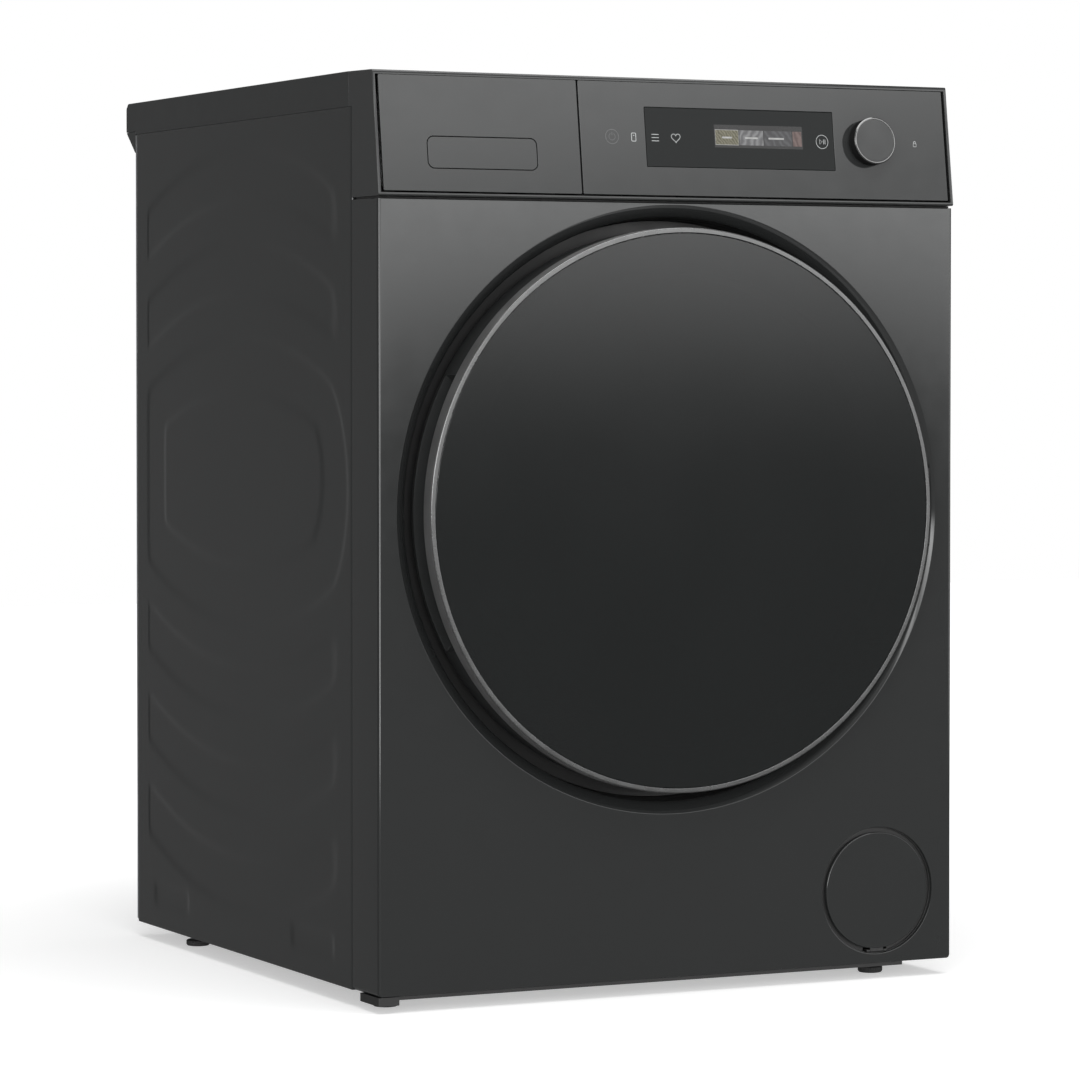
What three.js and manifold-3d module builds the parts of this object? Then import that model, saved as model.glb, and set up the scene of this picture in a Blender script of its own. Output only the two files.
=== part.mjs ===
// A free-standing front-loading clothes dryer with a heat pump, in millimetres, +Z up.
// Inside the machine group, y is measured backwards from the front panel's face and z up from the floor.
import * as THREE from 'three';
import Module from 'manifold-3d';
import { mergeVertices } from 'three/addons/utils/BufferGeometryUtils.js';

const wasm = await Module();
wasm.setup();

// ---- Driving dimensions ----
const WIDTH = 600; // over the side panels
const HEIGHT = 850; // floor to worktop
const BODY_DEPTH = 605.4; // front panel's face to the rear panel's face
const REAR_OVERHANG = 25.8; // worktop past the rear panel
const DOOR_PROUD = 27; // door ring in front of the front panel

const GAP = 0.3; // between pieces that are fastened together
const RUN = 0.6; // between a piece that moves and the one that guides it
const SHEET = 2; // panel metal as modelled
const RING_STEPS = 40; // facets round the big rings
const ROUND_STEPS = 24; // facets round small turned pieces

const PANEL_BOTTOM = 15.2;
const FASCIA_HEIGHT = 114.7; // panel line to worktop top
const PANEL_SEAM = 2.1; // front panel to fascia
const CORNER_R = 3; // vertical front corners
const SIDE_START = 58.1; // where the side panel begins behind the front panel's return
const SIDE_LIP = 14; // side panel's folded edges, front and back
const WORKTOP_THICK = 32;
const WORKTOP_START = 65.7;
const WORKTOP_SKIRT = 6;
const FASCIA_RAKE = THREE.MathUtils.degToRad(7.5);
const FASCIA_FRONT = -2; // y of the fascia's foot

const THROAT_R = 215; // loading opening
const DOOR_RIM = 45.4; // the door ring's outer edge past the throat
const DOOR_RING_FACE = 4.5; // ring's width seen from the front
const DOOR_RING_WALL = 1.8;
const DOOR_RING_DEPTH = 16;
const DOOR_GLASS_THICK = 4;
const DOOR_BODY_BACK = 20;
const DOOR_WALL = 3;
const BOWL_ROOM = 9; // throat to the inner frame's opening for the bowl
const RECESS_GAP = 20.6; // ring to the recess edge
const RECESS_COVE = 10; // radial width of the cove in the front panel
const COVE_DEPTH = 8.5;
const RECESS_DEPTH = 33;
const RECESS_MARGIN = 2.7; // recess edge below the top of the front panel
const DRUM_HEADROOM = 0.7; // drum below the top of the front panel
const BOWL_BACK = 80;

const BULKHEAD_Y = 96;
const THROAT_BACK = 118;
const DRUM_R = 283;
const DRUM_WALL = 1.5;
const DRUM_FRONT = 125;
const FELT_ROOM = 18; // throat to the drum's neck
const DRUM_REAR_ROOM = 60.4; // drum's rear wall to the rear panel's face
const LIFTER_HEIGHT = 58;
const BELT_WIDTH = 10;
const BELT_THICK = 2;

const HATCH_X = 218.5;
const HATCH_Z = 84.7;
const HATCH_R = 55.3;
const HATCH_HOLE_R = 60.2;
const FOOT_PAD_R = 11.8;
const FOOT_STUD_R = 4;

// ---- Places worked out from them ----
const OVERALL_DEPTH = DOOR_PROUD + BODY_DEPTH + REAR_OVERHANG;
const FACE_Y = DOOR_PROUD - OVERALL_DEPTH / 2;
const HALF = WIDTH / 2;
const INNER = HALF - SHEET - GAP * 6; // inner pieces stop here beside the side panels
const FASCIA_BOTTOM = HEIGHT - FASCIA_HEIGHT;
const PANEL_TOP = FASCIA_BOTTOM - PANEL_SEAM;
const WORKTOP_BOTTOM = HEIGHT - WORKTOP_THICK;
const DOOR_RING_R = THROAT_R + DOOR_RIM;
const DOOR_OPEN_R = THROAT_R - BOWL_ROOM;
const DRUM_NECK_R = THROAT_R + FELT_ROOM;
const RECESS_R = DOOR_RING_R + RECESS_GAP;
const DOOR_DROP = Math.max(RECESS_R + RECESS_MARGIN, DRUM_R + DRUM_HEADROOM);
const DOOR_Z = PANEL_TOP - DOOR_DROP; // door and drum axis above the floor
const SURROUND_R = RECESS_R - RECESS_COVE - 0.2;
const DOOR_BODY_R = DOOR_RING_R - DOOR_RING_WALL - GAP;
const RING_BACK = DOOR_RING_DEPTH - DOOR_PROUD;
const DOOR_FRONT_FLANGE = -DOOR_PROUD + DOOR_GLASS_THICK + 2 * GAP;
const REAR_PLATE_Y = BODY_DEPTH - 49.4;
const DRUM_BACK = BODY_DEPTH - DRUM_REAR_ROOM;
const TRAY_Z = 15.7;
const TRAY_FLOOR = 4;

// ---- Materials ----
function finish(color, roughness, metalness) {
  return new THREE.MeshStandardMaterial({ color, roughness, metalness });
}
const graphite = finish(0x3c3d3d, 0.45, 0.5);
const graphitePlastic = finish(0x404141, 0.5, 0.1);
const blackPlastic = finish(0x1d1e1e, 0.6, 0);
const greyPlastic = finish(0x55585a, 0.6, 0);
const palePlastic = finish(0xb9bcbc, 0.6, 0);
const steel = finish(0xa9abad, 0.35, 0.9);
const zinc = finish(0x8f9496, 0.5, 0.8);
const satinMetal = finish(0x77797a, 0.3, 0.9);
const darkGlass = finish(0x101212, 0.08, 0);
const clearGlass = finish(0x9fb0b4, 0.05, 0);
const rubber = finish(0x141414, 0.85, 0);
const felt = finish(0x6f6a60, 0.95, 0);
const copper = finish(0xb06a3c, 0.35, 0.95);
const boardGreen = finish(0x1f4a33, 0.6, 0);

// ---- Solid tools ----
function toSolid(geometry) {
  const bare = geometry.clone();
  bare.deleteAttribute('normal');
  bare.deleteAttribute('uv');
  const merged = mergeVertices(bare, 1e-4);
  const index = Array.from(merged.index.array);
  const faces = [];
  for (let i = 0; i < index.length; i += 3) {
    const [a, b, c] = index.slice(i, i + 3);
    if (a !== b && b !== c && c !== a) faces.push(a, b, c);
  }
  const vertProperties = new Float32Array(merged.attributes.position.array);
  const make = (list) => new wasm.Manifold(
    new wasm.Mesh({ numProp: 3, vertProperties, triVerts: new Uint32Array(list) }),
  );
  const solid = make(faces);
  if (solid.volume() > 0) return solid;
  const flipped = [];
  for (let i = 0; i < faces.length; i += 3) flipped.push(faces[i], faces[i + 2], faces[i + 1]);
  return make(flipped);
}

function toGeometry(solid) {
  const mesh = solid.getMesh();
  const geometry = new THREE.BufferGeometry();
  const position = new Float32Array(mesh.numVert * 3);
  for (let i = 0; i < mesh.numVert; i += 1) {
    for (let k = 0; k < 3; k += 1) position[3 * i + k] = mesh.vertProperties[mesh.numProp * i + k];
  }
  geometry.setAttribute('position', new THREE.BufferAttribute(position, 3));
  geometry.setIndex(new THREE.BufferAttribute(new Uint32Array(mesh.triVerts), 1));
  geometry.computeVertexNormals();
  return geometry;
}

const join = (...solids) => solids.reduce((whole, next) => whole.add(next));
const cut = (solid, ...tools) => tools.reduce((left, tool) => left.subtract(tool), solid);

function block(x, y, z) {
  const box = new THREE.BoxGeometry(x[1] - x[0], y[1] - y[0], z[1] - z[0]);
  box.translate((x[0] + x[1]) / 2, (y[0] + y[1]) / 2, (z[0] + z[1]) / 2);
  return toSolid(box);
}

// A turned solid about an axis along y, through (x, z); the profile is a list of [radius, y].
function turned(profile, x, z, steps = RING_STEPS) {
  const points = profile.map(([r, y]) => new THREE.Vector2(r, y));
  if (profile[0][0] > 0) points.push(points[0].clone());
  const lathe = new THREE.LatheGeometry(points, steps);
  lathe.translate(x, 0, z);
  return toSolid(lathe);
}

// The same about an upright axis through (x, y); the profile is a list of [radius, z].
function turnedUp(profile, x, y, steps = ROUND_STEPS) {
  const points = profile.map(([r, z]) => new THREE.Vector2(r, z));
  if (profile[0][0] > 0) points.push(points[0].clone());
  const lathe = new THREE.LatheGeometry(points, steps);
  lathe.rotateX(Math.PI / 2);
  lathe.translate(x, y, 0);
  return toSolid(lathe);
}

function disc(radius, y, x, z, steps = RING_STEPS) {
  return turned([[0, y[0]], [radius, y[0]], [radius, y[1]], [0, y[1]]], x, z, steps);
}

function post(radius, z, x, y, steps = ROUND_STEPS) {
  return turnedUp([[0, z[0]], [radius, z[0]], [radius, z[1]], [0, z[1]]], x, y, steps);
}

// A rod along x.
function bar(radius, x, y, z, steps = 12) {
  const rod = new THREE.CylinderGeometry(radius, radius, x[1] - x[0], steps);
  rod.rotateZ(Math.PI / 2);
  rod.translate((x[0] + x[1]) / 2, y, z);
  return toSolid(rod);
}

function outline(points) {
  return new THREE.Shape(points.map(([a, b]) => new THREE.Vector2(a, b)));
}

function prism(shape, from, to, curveSegments = 6) {
  const settings = { depth: to - from, bevelEnabled: false, curveSegments };
  const geometry = new THREE.ExtrudeGeometry(shape, settings);
  geometry.translate(0, 0, from);
  return geometry;
}

// Outline in (x, y), extruded up z.
const prismUp = (shape, z, steps) => toSolid(prism(shape, z[0], z[1], steps));

// Outline in (x, z), extruded back along y.
function prismBack(shape, y, steps) {
  const geometry = prism(shape, y[0], y[1], steps);
  const swap = new THREE.Matrix4().set(1, 0, 0, 0, 0, 0, 1, 0, 0, 1, 0, 0, 0, 0, 0, 1);
  return toSolid(geometry.applyMatrix4(swap));
}

// Outline in (y, z), extruded along x.
function prismAcross(shape, x, steps) {
  const geometry = prism(shape, x[0], x[1], steps);
  const swap = new THREE.Matrix4().set(0, 0, 1, 0, 1, 0, 0, 0, 0, 1, 0, 0, 0, 0, 0, 1);
  return toSolid(geometry.applyMatrix4(swap));
}

function roundedRect(x, z, r) {
  const shape = new THREE.Shape();
  shape.moveTo(x[0] + r, z[0]);
  shape.absarc(x[1] - r, z[0] + r, r, -Math.PI / 2, 0);
  shape.absarc(x[1] - r, z[1] - r, r, 0, Math.PI / 2);
  shape.absarc(x[0] + r, z[1] - r, r, Math.PI / 2, Math.PI);
  shape.absarc(x[0] + r, z[0] + r, r, Math.PI, 1.5 * Math.PI);
  return shape;
}

const machine = new THREE.Group();
machine.position.y = FACE_Y;
const fascia = new THREE.Group();
fascia.position.set(0, FASCIA_FRONT, FASCIA_BOTTOM);
fascia.rotation.x = -FASCIA_RAKE;
machine.add(fascia);

function place(name, solid, material, group = machine) {
  const mesh = new THREE.Mesh(toGeometry(solid), material);
  mesh.name = name;
  group.add(mesh);
}

// ---- Cabinet shells ----
function sidePanel(side) {
  const back = BODY_DEPTH - SHEET - 2 * GAP;
  const shape = outline([
    [side * HALF, SIDE_START],
    [side * HALF, back],
    [side * (HALF - SIDE_LIP), back],
    [side * (HALF - SIDE_LIP), back - SHEET],
    [side * (HALF - SHEET), back - SHEET],
    [side * (HALF - SHEET), SIDE_START + SHEET],
    [side * (HALF - SIDE_LIP), SIDE_START + SHEET],
    [side * (HALF - SIDE_LIP), SIDE_START],
  ]);
  return prismUp(shape, [PANEL_BOTTOM, WORKTOP_BOTTOM - GAP]);
}
place('left_side_panel', sidePanel(-1), graphite);
place('right_side_panel', sidePanel(1), graphite);

// The front panel is one bent sheet with a cove pressed round the door opening.
function frontPanel() {
  const back = SIDE_START - GAP;
  const centre = HALF - CORNER_R;
  const inside = CORNER_R - SHEET;
  const shape = new THREE.Shape();
  shape.moveTo(-HALF, back);
  shape.absarc(-centre, CORNER_R, CORNER_R, Math.PI, 1.5 * Math.PI);
  shape.absarc(centre, CORNER_R, CORNER_R, 1.5 * Math.PI, 2 * Math.PI);
  shape.lineTo(HALF, back);
  shape.lineTo(HALF - SHEET, back);
  shape.absarc(centre, CORNER_R, inside, 0, -Math.PI / 2, true);
  shape.absarc(-centre, CORNER_R, inside, -Math.PI / 2, -Math.PI, true);
  shape.lineTo(-HALF + SHEET, back);
  const sheet = prismUp(shape, [PANEL_BOTTOM, PANEL_TOP], 3);
  const coveBack = RECESS_R - RECESS_COVE;
  const cove = turned([
    [RECESS_R, 0],
    [RECESS_R + SHEET, 0],
    [RECESS_R + SHEET, SHEET],
    [RECESS_R - 0.5 * RECESS_COVE + SHEET, 0.4 * COVE_DEPTH + SHEET],
    [coveBack + SHEET, COVE_DEPTH],
    [coveBack, COVE_DEPTH],
    [RECESS_R - 0.6 * RECESS_COVE, 0.4 * COVE_DEPTH],
  ], 0, DOOR_Z);
  const doorHole = disc(RECESS_R + SHEET / 2, [-1, SHEET + 1], 0, DOOR_Z);
  const hatchHole = disc(HATCH_HOLE_R, [-1, SHEET + 1], HATCH_X, HATCH_Z, 40);
  return join(cut(sheet, doorHole, hatchHole), cove);
}
place('front_panel', frontPanel(), graphite);

const LATCH_X = -(THROAT_R + 29);
const LATCH_SLOT = { x: [LATCH_X - 9, LATCH_X + 7], z: [DOOR_Z - 9, DOOR_Z + 9] };

// The recess behind the door: a conical wall and a flat floor.
const SURROUND_TAPER = 2.3;

function doorSurround() {
  const back = RECESS_DEPTH + SHEET;
  return turned([
    [SURROUND_R, COVE_DEPTH + GAP],
    [SURROUND_R + SHEET, COVE_DEPTH + GAP],
    [SURROUND_R - SURROUND_TAPER + SHEET, back],
    [SURROUND_R - SURROUND_TAPER, back],
  ], 0, DOOR_Z);
}
place('door_surround', doorSurround(), blackPlastic);

function recessFloor() {
  const rim = SURROUND_R - SURROUND_TAPER - GAP;
  const y = [RECESS_DEPTH, RECESS_DEPTH + SHEET];
  const ring = turned([[THROAT_R + 1, y[0]], [rim, y[0]], [rim, y[1]], [THROAT_R + 1, y[1]]], 0, DOOR_Z);
  return cut(ring, block(LATCH_SLOT.x, [y[0] - 1, y[1] + 1], LATCH_SLOT.z));
}
place('recess_floor', recessFloor(), blackPlastic);

function rearPanel() {
  const shape = outline([
    [-HALF + GAP, PANEL_BOTTOM + 2],
    [HALF - GAP, PANEL_BOTTOM + 2],
    [HALF - GAP, WORKTOP_BOTTOM - GAP],
    [-HALF + GAP, WORKTOP_BOTTOM - GAP],
  ]);
  const sheet = prismBack(shape, [BODY_DEPTH - SHEET - GAP, BODY_DEPTH]);
  const reach = [BODY_DEPTH - 2 * SHEET, BODY_DEPTH + 1];
  const air = disc(DRUM_R - 48, reach, 0, DOOR_Z);
  const inlet = disc(7, reach, INLET.x, INLET.z, 12);
  return cut(sheet, air, inlet);
}
const INLET = { x: HALF - 70, z: 62 };
place('rear_panel', rearPanel(), zinc);

// The round cover on the back that leads warm air to the drum's rear.
function rearDuctCover() {
  const start = BODY_DEPTH + GAP;
  const flangeR = DRUM_R - 21;
  const dishR = DRUM_R - 36;
  return turned([
    [0, start + 16],
    [dishR - 12, start + 16],
    [dishR, start + SHEET],
    [flangeR, start + SHEET],
    [flangeR, start],
    [dishR - 1.5, start],
    [dishR - 13, start + 14],
    [0, start + 14],
  ], 0, DOOR_Z);
}
place('rear_duct_cover', rearDuctCover(), zinc);

function mainsGland() {
  const start = BODY_DEPTH + GAP;
  return turned([[5, start], [14, start], [14, start + 4], [9, start + 15], [5, start + 15]],
    INLET.x, INLET.z, 16);
}
place('mains_gland', mainsGland(), blackPlastic);

function worktop() {
  const back = BODY_DEPTH + REAR_OVERHANG;
  const chamfer = 5;
  const profile = outline([
    [WORKTOP_START, WORKTOP_BOTTOM],
    [BODY_DEPTH, WORKTOP_BOTTOM],
    [BODY_DEPTH, WORKTOP_BOTTOM + 3],
    [back, WORKTOP_BOTTOM + 3],
    [back, HEIGHT - chamfer],
    [back - chamfer, HEIGHT],
    [WORKTOP_START, HEIGHT],
  ]);
  const slab = prismAcross(profile, [-HALF, HALF]);
  const hollow = block(
    [-HALF + WORKTOP_SKIRT, HALF - WORKTOP_SKIRT],
    [WORKTOP_START - 1, BODY_DEPTH - WORKTOP_SKIRT],
    [WORKTOP_BOTTOM - 1, HEIGHT - WORKTOP_SKIRT],
  );
  return cut(slab, hollow);
}
place('worktop', worktop(), graphitePlastic);

function worktopStrip() {
  const top = WORKTOP_BOTTOM + 3 - GAP;
  const profile = outline([
    [BODY_DEPTH + GAP, WORKTOP_BOTTOM - 19.4],
    [BODY_DEPTH + REAR_OVERHANG, top],
    [BODY_DEPTH + GAP, top],
  ]);
  return prismAcross(profile, [-HALF, HALF]);
}
place('worktop_rear_strip', worktopStrip(), graphitePlastic);

// ---- Base ----
const FEET = [
  { name: 'front_left', x: -HALF + 28.7, y: 48.7 },
  { name: 'front_right', x: HALF - 62.2, y: 45.9 },
  { name: 'rear_left', x: -HALF + 28, y: BODY_DEPTH - 97.4 },
  { name: 'rear_right', x: HALF - 28, y: BODY_DEPTH - 97.4 },
];
const BOSS_BOTTOM = 11.7;

function baseTray() {
  const side = HALF - SIDE_LIP - GAP;
  const floor = [TRAY_Z, TRAY_Z + TRAY_FLOOR];
  const back = BODY_DEPTH - 5.4;
  const wall = 3;
  const wallTop = 60;
  const front = 64;
  let tray = join(
    block([-side, side], [SHEET + 1, back], floor),
    cut(
      block([-side, side], [front, back], [TRAY_Z, wallTop]),
      block([-side + wall, side - wall], [front + wall, back - wall], [TRAY_Z, wallTop + 1]),
    ),
    block([-HALF + 21, HALF - 52], [SHEET + 1, 12], [BOSS_BOTTOM, TRAY_Z + 1]),
    block([-side, -HALF + 21], [SHEET + 1, 42], [PANEL_BOTTOM - 8, TRAY_Z + 1]),
    block([-HALF + 0.5, -HALF + 21], [1, 42], [PANEL_BOTTOM - 8, PANEL_BOTTOM - GAP]),
  );
  for (const foot of FEET) {
    tray = join(tray, post(FOOT_PAD_R - 1, [BOSS_BOTTOM, TRAY_Z + 1], foot.x, foot.y, 16));
  }
  for (const foot of FEET) {
    tray = cut(tray, post(FOOT_STUD_R + 0.4, [0, TRAY_Z + 9], foot.x, foot.y, 12));
  }
  return tray;
}
place('base_tray', baseTray(), blackPlastic);

// A rubber pad on a threaded stud; the stud screws up into the tray's boss.
function foot({ x, y }) {
  const collar = BOSS_BOTTOM - GAP;
  return turnedUp([
    [0, 0],
    [FOOT_PAD_R - 1, 0],
    [FOOT_PAD_R, 1.5],
    [FOOT_PAD_R, 5.5],
    [8, 6.5],
    [8, collar],
    [FOOT_STUD_R, collar],
    [FOOT_STUD_R, TRAY_Z + TRAY_FLOOR + 2],
    [0, TRAY_Z + TRAY_FLOOR + 2],
  ], x, y, 16);
}
for (const spot of FEET) place(`foot_${spot.name}`, foot(spot), rubber);

// ---- Fascia ----
const FACE_LIP = 3.1;
const PANEL_EDGE = HALF - 5.5;
const DIVIDER_X = -HALF + 204.8;
const FACE_PLATE = 3;
const FACE_FROM = 4.7;
const FACE_TO = FASCIA_HEIGHT - 4.35;
const TOP_LIP = 5;

// A hollow box, open in front for the drawer and the control panel and open behind.
function fasciaFrame() {
  const tilt = Math.tan(FASCIA_RAKE);
  const topY = FASCIA_FRONT + tilt * (FASCIA_HEIGHT - 1.2);
  const cheek = WORKTOP_START - GAP;
  const body = prismAcross(outline([
    [FASCIA_FRONT, FASCIA_BOTTOM],
    [SIDE_START - GAP, FASCIA_BOTTOM],
    [SIDE_START - GAP, WORKTOP_BOTTOM],
    [cheek, WORKTOP_BOTTOM],
    [cheek, HEIGHT - 0.1],
    [topY, HEIGHT - 1.2],
  ]), [-HALF, HALF]);
  const window = block(
    [-HALF + 2.7, HALF - 2.7],
    [-20, cheek + 1],
    [FASCIA_BOTTOM + FACE_LIP, HEIGHT - TOP_LIP],
  );
  const low = FASCIA_BOTTOM + FACE_LIP - 1;
  const high = HEIGHT - TOP_LIP + 1;
  const setBack = 7;
  const divider = prismAcross(outline([
    [setBack, low],
    [SIDE_START - 1, low],
    [SIDE_START - 1, high],
    [setBack + tilt * (high - low), high],
  ]), [DIVIDER_X - 0.4, DIVIDER_X + 2.1]);
  return join(cut(body, window), divider);
}
place('fascia_frame', fasciaFrame(), graphitePlastic);

const DISPLAY = { x: [DIVIDER_X + 68.4, DIVIDER_X + 267.7], z: [31.7, 86.8] };
const KNOB = { x: HALF - 89, z: 59, r: 22.3, proud: 12.5, shaftR: 3 };

function controlPanel() {
  const plate = prismBack(outline([
    [DIVIDER_X + 0.8, FACE_FROM],
    [PANEL_EDGE, FACE_FROM],
    [PANEL_EDGE, FACE_TO],
    [DIVIDER_X + 0.8, FACE_TO],
  ]), [0, FACE_PLATE]);
  const window = block(
    [DISPLAY.x[0] - GAP, DISPLAY.x[1] + GAP],
    [-1, FACE_PLATE + 1],
    [DISPLAY.z[0] - GAP, DISPLAY.z[1] + GAP],
  );
  const shaft = disc(KNOB.shaftR + RUN, [-1, FACE_PLATE + 1], KNOB.x, KNOB.z, 16);
  return cut(plate, window, shaft);
}
place('control_panel', controlPanel(), graphitePlastic, fascia);
place('display_glass', block(DISPLAY.x, [0, FACE_PLATE - GAP], DISPLAY.z), darkGlass, fascia);

function selectorKnob() {
  return turned([
    [0, -KNOB.proud],
    [KNOB.r - 1.5, -KNOB.proud],
    [KNOB.r, -KNOB.proud + 1.5],
    [KNOB.r, -RUN],
    [KNOB.shaftR, -RUN],
    [KNOB.shaftR, 11],
    [0, 11],
  ], KNOB.x, KNOB.z, ROUND_STEPS);
}
place('selector_knob', selectorKnob(), satinMetal, fascia);

function controlBoard() {
  return join(
    block([DISPLAY.x[0] - 30, PANEL_EDGE - 12], [14, 16], [12, FASCIA_HEIGHT - 10.7]),
    block([KNOB.x - 11, KNOB.x + 11], [11 + GAP, 15], [KNOB.z - 11, KNOB.z + 11]),
    block([DISPLAY.x[0] + 4, DISPLAY.x[1] - 4], [FACE_PLATE + GAP, 15], [DISPLAY.z[0] + 3, DISPLAY.z[1] - 3]),
    block([DISPLAY.x[0] + 20, DISPLAY.x[0] + 60], [15, 26], [FASCIA_HEIGHT - 44.7, FASCIA_HEIGHT - 18.7]),
  );
}
place('control_board', controlBoard(), boardGreen, fascia);

// ---- Water tank drawer ----
const FLAP = { x: [-HALF + 51, -HALF + 160], z: [26, 54.5], r: 6, thick: 2, pinY: 4.6, pinZ: 52 };
const GRIP = { x: [FLAP.x[0] - 4, FLAP.x[1] + 4], y: [FACE_PLATE, 28], z: [22, 58] };
const TANK = {
  x: [-HALF + 18.5, DIVIDER_X - 5.3],
  y: [36, BODY_DEPTH - 143.4],
  z: [FASCIA_BOTTOM + 10, HEIGHT - 16],
};

function drawerFront() {
  const wall = 2;
  const plate = prismBack(outline([
    [-PANEL_EDGE, FACE_FROM],
    [DIVIDER_X - 0.8, FACE_FROM],
    [DIVIDER_X - 0.8, FACE_TO],
    [-PANEL_EDGE, FACE_TO],
  ]), [0, FACE_PLATE]);
  const cup = block(
    [GRIP.x[0] - wall, GRIP.x[1] + wall],
    [FACE_PLATE - 0.5, GRIP.y[1] + wall],
    [GRIP.z[0] - wall, GRIP.z[1] + wall],
  );
  const hole = roundedRect(
    [FLAP.x[0] - RUN, FLAP.x[1] + RUN],
    [FLAP.z[0] - RUN, FLAP.z[1] + RUN],
    FLAP.r + RUN,
  );
  return cut(join(plate, cup), block(GRIP.x, GRIP.y, GRIP.z), prismBack(hole, [-1, FACE_PLATE + 1], 4));
}
place('drawer_front', drawerFront(), graphitePlastic, fascia);

// The flap hangs from a pin along its top edge and tips inwards.
function drawerFlap() {
  const plate = prismBack(roundedRect(FLAP.x, FLAP.z, FLAP.r), [0, FLAP.thick], 4);
  const pin = bar(1.3, [GRIP.x[0] + GAP, GRIP.x[1] - GAP], FLAP.pinY, FLAP.pinZ, 10);
  const web = block([FLAP.x[0] + 5, FLAP.x[1] - 5], [FLAP.thick - 0.5, FLAP.pinY], [FLAP.pinZ - 1, FLAP.pinZ + 1]);
  return join(plate, pin, web);
}
place('drawer_flap', drawerFlap(), graphitePlastic, fascia);

function waterTank() {
  const wall = 2.5;
  const shrink = ([low, high]) => [low + wall, high - wall];
  const shell = cut(block(TANK.x, TANK.y, TANK.z), block(shrink(TANK.x), shrink(TANK.y), shrink(TANK.z)));
  const middle = (TANK.x[0] + TANK.x[1]) / 2;
  return cut(shell, post(18, [TANK.z[1] - 5, TANK.z[1] + 1], middle, TANK.y[1] - 45, 16));
}
place('water_tank', waterTank(), palePlastic);

function tankSleeve() {
  const wall = 2;
  const room = 1;
  const grow = ([low, high], by) => [low - by, high + by];
  const outer = block(grow(TANK.x, room + wall), [WORKTOP_START + GAP, TANK.y[1] + 8], grow(TANK.z, room + wall));
  const inner = block(grow(TANK.x, room), [0, TANK.y[1] + 6], grow(TANK.z, room));
  return cut(outer, inner);
}
place('tank_sleeve', tankSleeve(), greyPlastic);

// ---- Door ----
function doorTrimRing() {
  const front = -DOOR_PROUD;
  const lip = DOOR_RING_R - DOOR_RING_FACE;
  const wall = DOOR_RING_R - DOOR_RING_WALL;
  return turned([
    [lip, front],
    [DOOR_RING_R - 1.2, front],
    [DOOR_RING_R, front + 1.2],
    [DOOR_RING_R, RING_BACK],
    [wall, RING_BACK],
    [wall, front + 2.2],
    [lip, front + 2.2],
  ], 0, DOOR_Z);
}
place('door_trim_ring', doorTrimRing(), satinMetal);

const GLASS_R = DOOR_RING_R - DOOR_RING_FACE - GAP;
place('door_glass', disc(GLASS_R, [GAP - DOOR_PROUD, GAP - DOOR_PROUD + DOOR_GLASS_THICK], 0, DOOR_Z), darkGlass);

const BOWL_FLANGE_R = DOOR_OPEN_R + 12;

// A channel-section ring with a scooped finger pocket let into its left edge.
function doorBody() {
  const front = DOOR_FRONT_FLANGE;
  const inner = BOWL_FLANGE_R + 1;
  const channel = turned([
    [inner, front],
    [DOOR_BODY_R, front],
    [DOOR_BODY_R, DOOR_BODY_BACK],
    [DOOR_BODY_R - DOOR_WALL, DOOR_BODY_BACK],
    [DOOR_BODY_R - DOOR_WALL, front + DOOR_WALL],
    [inner + DOOR_WALL, front + DOOR_WALL],
    [inner + DOOR_WALL, DOOR_BODY_BACK],
    [inner, DOOR_BODY_BACK],
  ], 0, DOOR_Z);
  const angle = THREE.MathUtils.degToRad(29);
  const wedge = (spread) => prismBack(outline([
    [0, DOOR_Z],
    [-2 * DOOR_BODY_R * Math.cos(spread), DOOR_Z + 2 * DOOR_BODY_R * Math.sin(spread)],
    [-2 * DOOR_BODY_R * Math.cos(spread), DOOR_Z - 2 * DOOR_BODY_R * Math.sin(spread)],
  ]), [-40, 40]);
  const scoop = 22;
  const wall = 2.5;
  const sector = (low, high, y, spread) => turned([[low, y[0]], [high, y[0]], [high, y[1]], [low, y[1]]], 0, DOOR_Z)
    .intersect(wedge(spread));
  const pocketWall = sector(DOOR_BODY_R - scoop - wall, DOOR_BODY_R - 0.5, [-10, 17.5], angle + 0.01);
  const pocket = sector(DOOR_BODY_R - scoop, DOOR_BODY_R + 2, [-7.5, 15], angle);
  return cut(join(channel, pocketWall), pocket);
}
place('door_body', doorBody(), blackPlastic);

const FRAME_FRONT = DOOR_BODY_BACK + GAP;
const FRAME_BACK = FRAME_FRONT + 4;

function doorInnerFrame() {
  return turned([
    [DOOR_OPEN_R, FRAME_FRONT],
    [DOOR_BODY_R - 1.5, FRAME_FRONT],
    [DOOR_BODY_R - 1.5, FRAME_BACK - 2],
    [DOOR_BODY_R - 4, FRAME_BACK],
    [DOOR_OPEN_R, FRAME_BACK],
  ], 0, DOOR_Z);
}
place('door_inner_frame', doorInnerFrame(), greyPlastic);

// A deep glass bowl that keeps the load off the door and in the drum.
function doorBowl() {
  const glass = 4;
  const rim = DOOR_OPEN_R - 1;
  const flange = [DOOR_BODY_BACK - 4.5, DOOR_BODY_BACK];
  return turned([
    [0, BOWL_BACK],
    [rim - 55, BOWL_BACK],
    [rim - 32, BOWL_BACK - 8],
    [rim - 13, BOWL_BACK - 27],
    [rim, DOOR_BODY_BACK + 5],
    [rim, flange[1]],
    [BOWL_FLANGE_R, flange[1]],
    [BOWL_FLANGE_R, flange[0]],
    [rim - glass, flange[0]],
    [rim - 13 - glass, BOWL_BACK - 28],
    [rim - 45, BOWL_BACK - glass - 3],
    [0, BOWL_BACK - glass],
  ], 0, DOOR_Z);
}
place('door_bowl', doorBowl(), clearGlass);

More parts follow.
